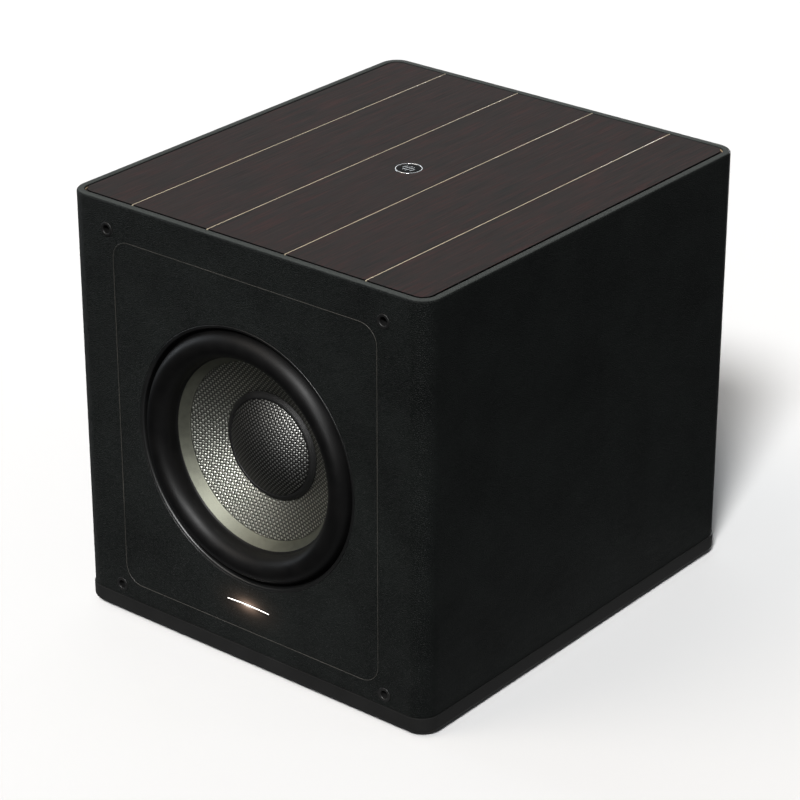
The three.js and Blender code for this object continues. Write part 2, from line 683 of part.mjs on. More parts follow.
// A three-pole socket: a flanged barrel with a round slot for the plug's shell, and a hole for each pin.
function xlrSocket() {
  const { width, height, flange, barrel, tail } = XLR;
  const plate = runY(roundedRect(width, height, 4), GAP, GAP + flange);
  const body = disc(barrel, -tail, GAP + flange / 2, ROUND.medium);
  const clear = 2 * flange + 1;
  const shellSlot = ring(XLR_SLOT.inner, XLR_SLOT.outer, -XLR_SLOT.depth, clear);
  const pins = [-1, 0, 1].map((i) => {
    const angle = i * (Math.PI / 3);
    const [x, z] = [XLR_PIN.circle * Math.sin(angle), XLR_PIN.above - XLR_PIN.circle * Math.cos(angle)];
    return disc(XLR_PIN.radius, -XLR_PIN.depth, clear, 8).translate(x, 0, z);
  });
  const [latchX, latchZ] = [LATCH.width / 2 + LATCH.play, LATCH.height / 2 + LATCH.play];
  const latchHole = block([-latchX, -tail, LATCH.above - latchZ], [latchX, clear, LATCH.above + latchZ]);
  return cut(join(plate, body), shellSlot, ...pins, latchHole);
}

function xlrLatch() {
  const [x, z] = [LATCH.width / 2, LATCH.height / 2];
  const front = XLR.flange + GAP + LATCH.proud;
  const back = front - LATCH.length;
  return runX(polygon([[back, -z], [front - 0.8, -z], [front, 0], [front, z], [back, z]]), -x, x);
}

function sliderButton() {
  const [x, z] = [SLIDER.button / 2, SLIDER.slotHeight / 2 - 0.5];
  const button = block([-x, -AMP.thickness - 4, -z], [x, SLIDER.proud, z]);
  const grooves = [-1.2, 1.2].map((at) => block([at - 0.3, SLIDER.proud - 0.7, -5], [at + 0.3, 9, 5]));
  return cut(button, ...grooves);
}

// Vertical fins on a base, seen from above as a comb.
function heatsink() {
  const { width, height, base, fin, pitch, finWidth } = HEATSINK;
  const count = Math.floor((width - finWidth) / pitch) + 1;
  const first = -((count - 1) * pitch) / 2;
  const root = GAP + base;
  const tip = root + fin;
  const taper = 0.4;
  const outline = [[-width / 2, GAP], [width / 2, GAP], [width / 2, root]];
  for (let i = count - 1; i >= 0; i -= 1) {
    const x = first + i * pitch;
    outline.push([x + finWidth / 2, root], [x + finWidth / 2 - taper, tip]);
    outline.push([x - finWidth / 2 + taper, tip], [x - finWidth / 2, root]);
  }
  outline.push([-width / 2, root]);
  return riseZ(polygon(outline), -height / 2, height / 2);
}

// A mains inlet with a fuse drawer below its cavity.
function powerInlet() {
  const { width, height, flange, tail, wall } = INLET;
  const plate = runY(roundedRect(width + 2, height + 2, 3), GAP, GAP + flange);
  const body = block([-width / 2 + 1, -tail, -height / 2 + 1], [width / 2 - 1, GAP + 1, height / 2 - 1]);
  const cavity = INLET_CAVITY;
  const corner = 4.5;
  const [x, low, high] = [cavity.width / 2, cavity.z - cavity.height / 2, cavity.z + cavity.height / 2];
  const keyed = polygon([
    [-x, low], [x, low], [x, high - corner], [x - corner, high], [corner - x, high], [-x, high - corner],
  ]);
  const mouth = GAP + flange;
  const drawerHole = block(
    [-DRAWER.width / 2 - GAP, mouth - DRAWER.depth - 2 * GAP, DRAWER.z - DRAWER.height / 2 - GAP],
    [DRAWER.width / 2 + GAP, mouth + 1, DRAWER.z + DRAWER.height / 2 + GAP],
  );
  const backWall = Math.max(-tail + wall, mouth - cavity.depth);
  return cut(join(plate, body), runY(keyed, backWall, mouth + 1), drawerHole);
}

function fuseDrawer() {
  const mouth = GAP + INLET.flange;
  const [x, z] = [DRAWER.width / 2, DRAWER.height / 2];
  const notch = block([-5, mouth - 1.2, -z - 1], [5, mouth + 1, -z + 2.2]);
  const tray = block([-x + 2, mouth - DRAWER.depth + 2, -z + 2], [x - 2, mouth - 3, z + 1]);
  return cut(block([-x, mouth - DRAWER.depth, -z], [x, mouth, z]), notch, tray);
}

function switchBezel() {
  const { width, height, flange, tail } = BEZEL;
  const plate = runY(roundedRect(width + 2, height + 2, 2), GAP, GAP + flange);
  const body = block([-width / 2 + 1, -tail, -height / 2 + 1], [width / 2 - 1, GAP + 1, height / 2 - 1]);
  const [x, z] = [ROCKER.width / 2 + 0.5, ROCKER.height / 2 + 1.4];
  return cut(join(plate, body), block([-x, 1.5 - tail, -z], [x, 9, z]));
}

// The rocker turns about the X axis of its own frame.
function rocker() {
  const [x, z] = [ROCKER.width / 2, ROCKER.height / 2];
  const side = polygon([
    [-4, -3], [-4, 3], [2, z - 1.5], [7.6, z], [8.2, z - 1.2],
    [5.6, 0], [8.2, 1.2 - z], [7.6, -z], [2, 1.5 - z],
  ]);
  return runX(side, -x, x);
}

function transformer() {
  const { section, ring: ringRadius, height } = TRANSFORMER;
  const steps = 8;
  const back = -AMP.thickness - CONTROL_GAP - height / 2;
  const profile = Array.from({ length: steps }, (_, i) => {
    const angle = (i / steps) * Math.PI * 2;
    const square = (value) => Math.sign(value) * Math.abs(value) ** 0.6;
    return [ringRadius + section * square(Math.cos(angle)), back + (height / 2) * square(Math.sin(angle))];
  });
  return turn(profile, ROUND.medium);
}

// A board that stands behind the sockets and carries the potentiometers and the power parts.
function ampBoard() {
  const { width, low, high, front, thickness } = BOARD;
  const [x, y] = [width / 2, -front];
  const potBack = -KNOB.shaftDepth - 1;
  const pots = KNOB_X.map((at) => block([at - 8, y - 0.5, KNOB.z - 8], [at + 8, potBack, KNOB.z + 8]));
  const capacitors = [-86, -52, -18].map((at) => disc(12, y - 36, y - 0.8).translate(at, 0, 48));
  const coils = [30, 62].map((at) => block([at - 11, y - 26, 36], [at + 11, y - 0.8, 58]));
  const spreader = block([-100, y - 30, 118], [100, y - 0.8, 122]);
  const slab = block([-x, y - thickness, low], [x, y, high]);
  return join(slab, ...pots, ...capacitors, ...coils, spreader);
}

function amplifier() {
  const row = (names, xs, z, shape, material) => (
    names.map((name, i) => piece(name, shape(), material, [xs[i], 0, z]))
  );
  const rockerTilt = THREE.MathUtils.degToRad(ROCKER.tilt);
  return groupAt(
    [0, BACK, AMP.z],
    piece("amp_plate", ampPlate(), LOOK.anodised),
    piece("amp_gasket", ampGasket(), LOOK.foam),
    piece("heatsink", heatsink(), LOOK.anodised, [0, 0, HEATSINK.z]),
    piece("amp_board", ampBoard(), LOOK.circuit),
    piece("transformer", transformer(), LOOK.copper, [TRANSFORMER.x, 0, TRANSFORMER.z]),
    ...row(["volume_knob", "crossover_knob", "phase_knob"], KNOB_X, KNOB.z, knob, LOOK.plastic),
    ...row(["input_jack_1", "input_jack_2", "input_jack_3"], JACK_X, JACK.z, rcaJack, LOOK.chrome),
    piece("balanced_input", xlrSocket(), LOOK.plastic, [XLR.x, 0, XLR.z]),
    piece("balanced_input_latch", xlrLatch(), LOOK.chrome, [XLR.x, 0, XLR.z + LATCH.above]),
    piece("mode_slider", sliderButton(), LOOK.plastic, [SLIDER.x, 0, SLIDER.z]),
    piece("power_inlet", powerInlet(), LOOK.plastic, [INLET.x, 0, INLET.z]),
    piece("fuse_drawer", fuseDrawer(), LOOK.plastic, [INLET.x, 0, INLET.z + DRAWER.z]),
    piece("power_switch_bezel", switchBezel(), LOOK.plastic, [ROCKER.x, 0, ROCKER.z]),
    piece("power_rocker", rocker(), LOOK.plastic, [ROCKER.x, ROCKER.pivot, ROCKER.z], [rockerTilt, 0, 0]),
  );
}

// ---------------------------------------------------------------- wiring

// The lead from the driver's tabs, through the upper window of the brace, to the amplifier's board.
function speakerCable() {
  const tabZ = DRIVER_Z + TAB_TOP - TAB.thickness / 2;
  const boardBack = BACK - BOARD.front - BOARD.thickness;
  const route = new THREE.CatmullRomCurve3([
    new THREE.Vector3(TAB.x, FRONT + TAB.back + GAP, tabZ),
    new THREE.Vector3(TAB.x, FRONT + TAB.back + 18, tabZ),
    new THREE.Vector3(14, -80, tabZ - 2),
    new THREE.Vector3(30, 0, tabZ - 26),
    new THREE.Vector3(26, 80, tabZ - 30),
    new THREE.Vector3(4, boardBack - 40, AMP.z + 84),
    new THREE.Vector3(2, boardBack - 18, AMP.z + 86),
    new THREE.Vector3(2, boardBack - GAP, AMP.z + 86),
  ]);
  const section = new THREE.Shape(Array.from({ length: CABLE.sides }, (_, i) => {
    const angle = (i / CABLE.sides) * Math.PI * 2;
    return new THREE.Vector2(CABLE.radius * Math.cos(angle), CABLE.radius * Math.sin(angle));
  }));
  return new THREE.ExtrudeGeometry(section, { steps: CABLE.steps, extrudePath: route, bevelEnabled: false });
}

// ---------------------------------------------------------------- assembly

function feet() {
  const x = CABINET.width / 2 - FOOT.inset;
  const y = CABINET.depth / 2 - FOOT.inset;
  return CORNERS.map(([sx, sy], i) => piece(`foot_${i + 1}`, foot(), LOOK.rubber, [sx * x, sy * y, 0]));
}

function grilleSockets() {
  const heights = [SOCKET.lowZ, SOCKET.highZ];
  const places = heights.flatMap((z) => [-1, 1].map((side) => [side * SOCKET.x, FRONT, z]));
  return places.map((place, i) => piece(`grille_socket_${i + 1}`, grilleSocket(), LOOK.satinBlack, place));
}

function inlays() {
  return INLAY_X.map((x, i) => piece(`inlay_${i + 1}`, inlayStrip(0), LOOK.maple, [x, 0, TOP_SURFACE]));
}

const subwoofer = groupAt(
  [0, CABINET_Y, FOOT.height],
  piece("leather_wrap", leatherWrap(), LOOK.leather),
  piece("front_baffle", frontBaffle(), LOOK.board),
  piece("rear_panel", rearPanel(), LOOK.board),
  piece("left_panel", sideWall(-1), LOOK.board),
  piece("right_panel", sideWall(1), LOOK.board),
  piece("bottom_board", innerBoard(BODY_LOW, BOTTOM_TOP), LOOK.board),
  piece("top_board", innerBoard(CEILING, RECESS_Z), LOOK.board),
  piece("window_brace", windowBrace(), LOOK.board),
  piece("acoustic_lining", acousticLining(), LOOK.wadding),
  piece("plinth", plinth(), LOOK.plinth),
  piece("wood_top", woodTop(), LOOK.ebony),
  piece("badge_ring", badgeRing(), LOOK.chrome, [0, 0, BADGE_BASE]),
  piece("badge_disc", badgeDisc(), LOOK.darkMetal, [0, 0, BADGE_BASE]),
  piece("front_fascia", frontFascia(), LOOK.leather),
  piece("light_bar", lightBar(0, FRONT - LIGHT.proud, FRONT + LIGHT.depth), LOOK.light),
  piece("light_board", lightBoard(), LOOK.circuit),
  piece("speaker_cable", speakerCable(), LOOK.plastic),
  ...feet(),
  ...grilleSockets(),
  ...inlays(),
  driver(),
  amplifier(),
);

export default subwoofer;
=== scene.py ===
"""A powered subwoofer in leather, dark veneer and rubber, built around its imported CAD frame.

Metres, +Z up, front to -Y. Turned profiles and small parts are written in millimetres.
"""

import math

import bmesh
import bpy
from mathutils import Matrix, Vector
from mathutils.bvhtree import BVHTree
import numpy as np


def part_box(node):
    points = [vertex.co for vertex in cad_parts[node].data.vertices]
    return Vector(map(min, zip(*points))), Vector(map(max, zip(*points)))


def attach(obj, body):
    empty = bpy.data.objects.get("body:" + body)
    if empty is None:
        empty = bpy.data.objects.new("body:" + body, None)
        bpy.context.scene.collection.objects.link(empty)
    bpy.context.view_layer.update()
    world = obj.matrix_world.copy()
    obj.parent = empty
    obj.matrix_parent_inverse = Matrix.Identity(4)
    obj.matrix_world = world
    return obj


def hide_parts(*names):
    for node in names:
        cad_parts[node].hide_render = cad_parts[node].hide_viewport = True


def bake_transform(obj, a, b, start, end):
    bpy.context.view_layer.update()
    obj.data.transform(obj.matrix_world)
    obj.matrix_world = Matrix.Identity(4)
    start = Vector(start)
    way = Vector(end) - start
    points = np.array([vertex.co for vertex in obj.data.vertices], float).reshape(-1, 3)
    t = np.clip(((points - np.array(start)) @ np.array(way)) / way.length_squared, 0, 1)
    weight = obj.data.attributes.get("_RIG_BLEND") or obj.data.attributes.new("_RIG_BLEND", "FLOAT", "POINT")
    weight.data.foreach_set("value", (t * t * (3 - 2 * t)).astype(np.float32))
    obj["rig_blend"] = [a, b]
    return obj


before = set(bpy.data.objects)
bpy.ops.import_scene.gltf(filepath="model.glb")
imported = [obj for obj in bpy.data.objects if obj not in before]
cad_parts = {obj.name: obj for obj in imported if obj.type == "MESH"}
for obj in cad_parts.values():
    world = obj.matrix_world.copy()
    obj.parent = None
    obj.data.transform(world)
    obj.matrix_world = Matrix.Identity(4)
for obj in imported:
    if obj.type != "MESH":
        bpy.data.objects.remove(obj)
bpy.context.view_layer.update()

MM = 0.001

# ---------------------------------------------------------------- places, read from the frame

PLINTH_LOW, PLINTH_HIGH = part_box("plinth")
WRAP_LOW, WRAP_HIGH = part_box("leather_wrap")
WOOD_LOW, WOOD_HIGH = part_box("wood_top")
TRIM_LOW, TRIM_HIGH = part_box("driver_trim_ring")
PLATE_LOW, PLATE_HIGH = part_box("amp_plate")

FRONT_Y = WRAP_LOW.y
BACK_Y = WRAP_HIGH.y
MIDDLE_Y = (FRONT_Y + BACK_Y) / 2
TOP_Z = WRAP_HIGH.z
DRIVER_Z = (TRIM_LOW.z + TRIM_HIGH.z) / 2
CABINET = "cabinet"
CONE = "cone_assembly"

EDGE_RADIUS = 18.6 * MM
PLINTH_RADIUS = 19.6 * MM
WOOD_RADIUS = 12 * MM
FASCIA_RADIUS = 18 * MM
PLATE_RADIUS = 6 * MM
SLIT = 0.3 * MM  # between the hide and what is let into it
LIGHT_HALF = 24.4  # half the lit bar's length, in millimetres
ROUND = 192  # segments around the driver


def centre(node):
    low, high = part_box(node)
    return (low + high) / 2


def linked(name, data):
    """A new object in the scene."""
    obj = bpy.data.objects.new(name, data)
    bpy.context.scene.collection.objects.link(obj)
    return obj


# ---------------------------------------------------------------- camera, lights and floor

VIEW_AZIMUTH = math.radians(39.05)
VIEW_ELEVATION = math.radians(25.58)
VIEW_DISTANCE = 2.7514
VIEW_SHIFT = (-0.0078, -0.0032)
LIGHT_DISTANCE = 3.0
FLOOR_HALF = 30.0
BACKDROP_RADIUS = 26.0
AIM = Vector((0, MIDDLE_Y, PLINTH_LOW.z + 0.180))


def view_axes(azimuth, elevation):
    right = Vector((math.cos(azimuth), math.sin(azimuth), 0))
    back = Vector((
        math.sin(azimuth) * math.cos(elevation),
        -math.cos(azimuth) * math.cos(elevation),
        math.sin(elevation),
    ))
    return right, back.cross(right), back


def add_camera():
    right, up, back = view_axes(VIEW_AZIMUTH, VIEW_ELEVATION)
    data = bpy.data.cameras.new("camera")
    data.lens = 135
    data.sensor_width = 36
    data.clip_end = 50
    camera = linked("camera", data)
    place = AIM + right * VIEW_SHIFT[0] + up * VIEW_SHIFT[1] + back * VIEW_DISTANCE
    camera.matrix_world = Matrix.Translation(place) @ Matrix((right, up, back)).transposed().to_4x4()
    bpy.context.scene.camera = camera


def add_light(name, kind, direction, power, colour=(1, 1, 1), aim=AIM):
    """A light that shines on a point, which is the cabinet's middle unless aim is given, from a direction."""
    data = bpy.data.lights.new(name, kind)
    data.energy = power
    data.color = colour
    light = linked(name, data)
    towards = Vector(direction).normalized()
    light.location = aim + towards * LIGHT_DISTANCE
    light.rotation_euler = towards.to_track_quat("Z", "Y").to_euler()
    return light


def add_sun(name, direction, strength, spread_degrees, colour=(1, 1, 1)):
    light = add_light(name, "SUN", direction, strength, colour)
    light.data.angle = math.radians(spread_degrees)


def add_softbox(name, direction, size, power, colour=(1, 1, 1)):
    light = add_light(name, "AREA", direction, power, colour)
    light.data.shape = "RECTANGLE"
    light.data.size, light.data.size_y = size
    return light


def add_snoot(name, aim, direction, radius, power):
    """A narrow beam that makes a round pool of light of a given radius."""
    light = add_light(name, "SPOT", direction, power, aim=aim)
    light.data.spot_size = 2 * math.atan(radius / LIGHT_DISTANCE)
    light.data.spot_blend = 0.3
    light.data.shadow_soft_size = 0.12


def add_floor():
    """A pale floor. Its own glow is kept off the object, as black flags would."""
    corners = [(x * FLOOR_HALF, y * FLOOR_HALF, 0) for x, y in ((-1, -1), (1, -1), (1, 1), (-1, 1))]
    mesh = bpy.data.meshes.new("floor")
    mesh.from_pydata(corners, [], [(0, 1, 2, 3)])
    floor = linked("floor", mesh)
    floor.visible_diffuse = False
    floor.visible_glossy = False
    floor.visible_shadow = False
    mesh.materials.append(floor_material())
    return floor


def add_lights(floor):
    """Soft studio lights. The box behind the object lights its back and leaves the floor alone."""
    add_sun("key", (0.41, -0.91, 1.0), 4.6, 12)
    add_sun("fill", (-0.48, -0.62, 1.0), 0.8, 30, (1.0, 0.90, 0.80))
    add_sun("dome", (-0.2, -0.1, 1.0), 0.45, 100)
    add_sun("bounce", (0.66, -0.20, -0.72), 0.20, 60, (0.98, 0.98, 1.0))
    add_softbox("back_box", (-0.62, 0.78, 0.62), (2.6, 1.1), 11, (0.94, 0.98, 1.0))
    add_softbox("left_strip", (-1.0, -0.12, 0.22), (0.8, 1.6), 19, (0.86, 0.93, 1.0))
    add_softbox("right_strip", (1.0, 0.55, 0.20), (0.8, 1.6), 9, (0.95, 0.97, 1.0))
    add_snoot("driver_snoot", Vector((0, FRONT_Y, DRIVER_Z)), (0.36, -0.86, 0.30), 0.088, 480)
    behind = add_softbox("behind", (-0.36, 1.0, 0), (1.8, 0.4), 120, (0.95, 0.97, 1.0))
    spared = bpy.data.collections.new("not_lit_from_behind")
    spared.objects.link(floor)
    behind.light_linking.receiver_collection = spared
    spared.collection_objects[0].light_linking.link_state = "EXCLUDE"


def add_glowing_band(name, inner, outer, glow, seen_by):
    """A band between two rings of points. Only one kind of ray sees it, and it shades nothing."""
    count = len(inner)
    faces = [(i, (i + 1) % count, (i + 1) % count + count, i + count) for i in range(count)]
    mesh = bpy.data.meshes.new(name)
    mesh.from_pydata(inner + outer, [], faces)
    band = linked(name, mesh)
    for ray in ("camera", "diffuse", "glossy", "transmission", "shadow", "volume_scatter"):
        setattr(band, f"visible_{ray}", ray == seen_by)
    made, tree = material(name)
    uneven = stretched(tree, noise(tree, place(tree), 0.2, 2), glow * 0.98, glow * 1.02)
    lit = {"Emission_Color": grey(1), "Emission_Strength": uneven}
    dress(tree, grey(0), 1.0, Specular_IOR_Level=0.0, **lit)
    mesh.materials.append(made)


def add_stage():
    """The floor, the lights, a white backdrop, and lit floor that the plinth and the hide reflect."""
    scene = bpy.context.scene
    scene.view_settings.view_transform = "Standard"
    scene.view_settings.look = "None"
    world = bpy.data.worlds.new("surround")
    world.use_nodes = True
    scene.world = world
    world.node_tree.nodes["Background"].inputs["Color"].default_value = (0.9, 0.95, 1.0, 1)
    world.node_tree.nodes["Background"].inputs["Strength"].default_value = 0.02
    add_lights(add_floor())
    around = circle(BACKDROP_RADIUS, 64, (0, MIDDLE_Y))
    below, above = ([(x, y, z) for x, y in around] for z in (-0.5, FLOOR_HALF))
    add_glowing_band("backdrop", below, above, 0.95, "camera")
    under, beyond = (level_ring("plinth", 0.04, inset, 0.0002) for inset in (0.02, -0.045))
    add_glowing_band("lit_floor", under, beyond, 0.26, "glossy")


# ---------------------------------------------------------------- material nodes


def material(name):
    """A new material and its node tree, which holds a Principled shader."""
    made = bpy.data.materials.new(name)
    made.use_nodes = True
    return made, made.node_tree


def fill(tree, socket, value):
    """Links a socket, or sets it when the value is the same all over."""
    if isinstance(value, bpy.types.NodeSocket):
        tree.links.new(value, socket)
    else:
        socket.default_value = (*value, 1) if socket.type == "RGBA" else value


def add(tree, kind, inputs=None, **settings):
    node = tree.nodes.new(kind)
    for key, value in settings.items():
        setattr(node, key, value)
    for key, value in (inputs or {}).items():
        fill(tree, node.inputs[key], value)
    return node


def maths(tree, operation, a, b=0.0, c=0.0):
    return add(tree, "ShaderNodeMath", {0: a, 1: b, 2: c}, operation=operation).outputs[0]


def times(tree, a, b):
    return maths(tree, "MULTIPLY", a, b)


def place(tree, scale=(1, 1, 1)):
    """The point on the piece in metres, stretched by scale."""
    coordinates = add(tree, "ShaderNodeTexCoord").outputs["Object"]
    return add(tree, "ShaderNodeMapping", {"Vector": coordinates, "Scale": scale}).outputs["Vector"]


def noise(tree, vector, scale, detail=3.0, roughness=0.5):
    inputs = {"Vector": vector, "Scale": scale, "Detail": detail, "Roughness": roughness}
    return add(tree, "ShaderNodeTexNoise", inputs).outputs["Fac"]


def cells(tree, vector, scale, feature="F1"):
    inputs = {"Vector": vector, "Scale": scale}
    return add(tree, "ShaderNodeTexVoronoi", inputs, feature=feature).outputs["Distance"]


def spread(tree, value, low, high, to_low=0.0, to_high=1.0):
    inputs = {"Value": value, "From Min": low, "From Max": high, "To Min": to_low, "To Max": to_high}
    return add(tree, "ShaderNodeMapRange", inputs).outputs["Result"]


def stretched(tree, texture, to_low=0.0, to_high=1.0):
    """Noise lies mostly between 0.3 and 0.7. This spreads that over the whole of another range."""
    return spread(tree, texture, 0.3, 0.7, to_low, to_high)


def vector_maths(tree, operation, a, b=(0, 0, 0)):
    return add(tree, "ShaderNodeVectorMath", {0: a, 1: b}, operation=operation).outputs[0]


def axes(tree, vector):
    """The vector's three parts, by name."""
    return add(tree, "ShaderNodeSeparateXYZ", {0: vector}).outputs


def mix(tree, factor, a, b):
    """From one colour to another."""
    return add(tree, "ShaderNodeMix", {"Factor": factor, 6: a, 7: b}, data_type="RGBA").outputs[2]


def bump(tree, height, strength, distance, below=None):
    inputs = {"Height": height, "Strength": strength, "Distance": distance}
    if below is not None:
        inputs["Normal"] = below
    return add(tree, "ShaderNodeBump", inputs).outputs["Normal"]


def dress(tree, colour, roughness, normal=None, **others):
    """Links what varies over the surface, and sets what is the same all over on the shader's own sockets."""
    sockets = {"Base Color": colour, "Roughness": roughness, **others}
    if normal is not None:
        sockets["Normal"] = normal
    for key, value in sockets.items():
        fill(tree, tree.nodes["Principled BSDF"].inputs[key.replace("_", " ")], value)


# ---------------------------------------------------------------- materials


def grey(value):
    return (value, value, value)


def floor_material():
    made, tree = material("pale_floor")
    tint = stretched(tree, noise(tree, place(tree), 0.6, 2))
    dress(tree, mix(tree, tint, grey(0.650), grey(0.668)), 0.9, Specular_IOR_Level=0.0)
    return made


def leather_height(tree):
    """Pebbled grain: small rounded cells between creases, with finer noise over them."""
    warp = times(tree, noise(tree, place(tree), 500, 2), 0.0008)
    shifted = vector_maths(tree, "ADD", place(tree), warp)
    pebbles = spread(tree, cells(tree, shifted, 640, "DISTANCE_TO_EDGE"), 0.0, 0.30)
    fine = noise(tree, place(tree), 1700, 3, 0.65)
    return maths(tree, "ADD", times(tree, pebbles, 0.7), times(tree, fine, 0.55))


def leather_creases(tree):
    """Long shallow creases that run level around the hide."""
    level = noise(tree, place(tree, (16, 16, 190)), 1.0, 4, 0.65)
    broad = noise(tree, place(tree, (70, 70, 120)), 1.0, 3, 0.6)
    return maths(tree, "ADD", level, times(tree, broad, 0.8))


def leather(name, glow=None, rolled_edge=None):
    """Black hide. The hollows of its grain are darker as painted shade, and the top of its rolled edge is
    paler as a painted sheen of light. A glow can be painted in around a point.
    """
    made, tree = material(name)
    grain, creases = leather_height(tree), leather_creases(tree)
    mottle = spread(tree, noise(tree, place(tree), 17, 4, 0.6), 0.34, 0.66)
    colour = mix(tree, mottle, (0.0020, 0.0029, 0.0026), (0.0056, 0.0072, 0.0066))
    # Painted shade: the hollows of the grain are painted darker.
    colour = mix(tree, spread(tree, grain, 0.2, 0.9, 0.5, 0.0), colour, (0.0012, 0.0016, 0.0014))
    # Painted sheen: the top of the rolled edge is painted paler, as light catching its flat top.
    if rolled_edge is not None:
        height = axes(tree, place(tree))["Z"]
        painted_sheen = spread(tree, height, rolled_edge - 0.8 * MM, rolled_edge - 0.25 * MM)
        pale = mix(tree, spread(tree, grain, 0.2, 0.9), (0.035, 0.039, 0.037), (0.046, 0.051, 0.048))
        colour = mix(tree, painted_sheen, colour, pale)
    roughness = spread(tree, creases, 0.55, 1.25, 0.48, 0.64)
    normal = bump(tree, creases, 0.22, 0.0010)
    normal = bump(tree, grain, 0.75, 0.00060, normal)
    others = {"Specular_IOR_Level": 0.14, "Sheen_Weight": 0.02, "Sheen_Roughness": 0.4}
    # Painted light: a glow around the lit bar, painted in as emission.
    if glow is not None:
        others.update(painted_glow_around(tree, glow))
    dress(tree, colour, roughness, normal, **others)
    return made


def painted_glow_around(tree, middle):
    """Painted light: a warm glow from the lit bar, painted into the leather around it as emission, given as
    its colour and strength.
    """
    offset = vector_maths(tree, "SUBTRACT", place(tree), middle)

    def halo(reach_x, reach_z):
        """1 at the middle, falling off over the two reaches."""
        scaled = vector_maths(tree, "MULTIPLY", offset, (1 / reach_x, 0, 1 / reach_z))
        far = add(tree, "ShaderNodeVectorMath", {0: scaled}, operation="LENGTH").outputs["Value"]
        return maths(tree, "EXPONENT", times(tree, times(tree, far, far), -1.0))

    core, near, wide = halo(0.0065, 0.0017), halo(0.0110, 0.0056), halo(0.024, 0.014)
    soft = maths(tree, "MULTIPLY_ADD", near, 0.22, times(tree, wide, 0.030))
    amount = maths(tree, "MULTIPLY_ADD", core, 1.1, soft)
    colour = mix(tree, core, (1.0, 0.66, 0.48), (1.0, 0.93, 0.86))
    return {"Emission_Color": colour, "Emission_Strength": amount}


def veneer():
    """Dark quarter-cut veneer in five planks. Their grain runs front to back, each with its own figure."""
    made, tree = material("dark_veneer")
    pitch = abs(centre("inlay_2").x - centre("inlay_1").x)
    parts = axes(tree, place(tree))
    plank = maths(tree, "FLOOR", maths(tree, "DIVIDE", maths(tree, "ADD", parts["X"], 2.5 * pitch), pitch))
    across = maths(tree, "MULTIPLY_ADD", plank, 0.377, parts["X"])
    along = maths(tree, "MULTIPLY_ADD", plank, 0.811, parts["Y"])
    point = add(tree, "ShaderNodeCombineXYZ", {"X": across, "Y": along, "Z": plank}).outputs[0]

    def streaks(x, y, detail=4.0):
        return noise(tree, vector_maths(tree, "MULTIPLY", point, (x, y, 1)), 1.0, detail, 0.62)

    fine = streaks(700, 22)
    hair = streaks(2400, 50, 2.0)
    pores = spread(tree, streaks(1900, 60, 2.0), 0.62, 0.70)
    broad = stretched(tree, streaks(60, 3))
    base = mix(tree, broad, (0.0118, 0.0082, 0.0078), (0.0162, 0.0114, 0.0108))
    base = mix(tree, spread(tree, fine, 0.40, 0.64, 0.0, 0.8), base, (0.0235, 0.0190, 0.0175))
    red = spread(tree, streaks(430, 17), 0.48, 0.60, 0.0, 0.9)
    base = mix(tree, red, base, (0.033, 0.0138, 0.0128))
    dark = spread(tree, streaks(520, 15), 0.50, 0.62, 0.0, 0.85)
    base = mix(tree, dark, base, (0.0078, 0.0085, 0.0078))
    base = mix(tree, spread(tree, hair, 0.45, 0.75, 0.0, 0.4), base, (0.009, 0.007, 0.0065))
    base = mix(tree, times(tree, pores, 0.7), base, (0.005, 0.004, 0.0038))
    # Painted shade: faces that do not look up, such as the panel's edges and groove walls, are painted near
    # black.
    facing_up = axes(tree, add(tree, "ShaderNodeNewGeometry").outputs["True Normal"])["Z"]
    base = mix(tree, spread(tree, facing_up, 0.35, 0.75), grey(0.0006), base)
    roughness = stretched(tree, fine, 0.50, 0.62)
    height = maths(tree, "SUBTRACT", times(tree, fine, 0.5), times(tree, pores, 0.5))
    dress(tree, base, roughness, bump(tree, height, 0.22, 0.00012), Specular_IOR_Level=0.16)
    return made


def maple():
    made, tree = material("maple_inlay")
    streak = noise(tree, place(tree, (1500, 60, 1500)), 1.0, 3)
    colour = mix(tree, stretched(tree, streak), (0.40, 0.34, 0.235), (0.52, 0.45, 0.32))
    dress(tree, colour, 0.5, bump(tree, streak, 0.15, 0.0001))
    return made


def grained(name, dark, pale, roughness, scale, strength, distance=0.0001, **fixed):
    """A surface with a fine even texture, such as moulded plastic, cast alloy or powder coat."""
    made, tree = material(name)
    texture = noise(tree, place(tree), scale, 5, 0.65)
    cloud = noise(tree, place(tree), 30, 3)
    colour = mix(tree, stretched(tree, cloud), dark, pale)
    uneven = stretched(tree, cloud, *roughness)
    dress(tree, colour, uneven, bump(tree, texture, strength, distance), **fixed)
    return made


def rubber():
    made, tree = material("surround_rubber")
    soft = noise(tree, place(tree), 60, 3)
    fine = noise(tree, place(tree), 1900, 4, 0.6)
    colour = mix(tree, stretched(tree, soft), (0.0016, 0.0016, 0.0017), (0.0026, 0.0025, 0.0025))
    roughness = stretched(tree, soft, 0.42, 0.50)
    dress(tree, colour, roughness, bump(tree, fine, 0.10, 0.00006), Specular_IOR_Level=0.16)
    return made


def polished(name, colour, roughness=0.14):
    """Plated metal with faint smears."""
    made, tree = material(name)
    smear = noise(tree, place(tree, (90, 90, 400)), 1.0, 3)
    tone = mix(tree, stretched(tree, smear), [c * 0.9 for c in colour], colour)
    uneven = stretched(tree, smear, roughness, roughness * 1.8)
    dress(tree, tone, uneven, bump(tree, smear, 0.03, 0.00005), Metallic=1.0)
    return made


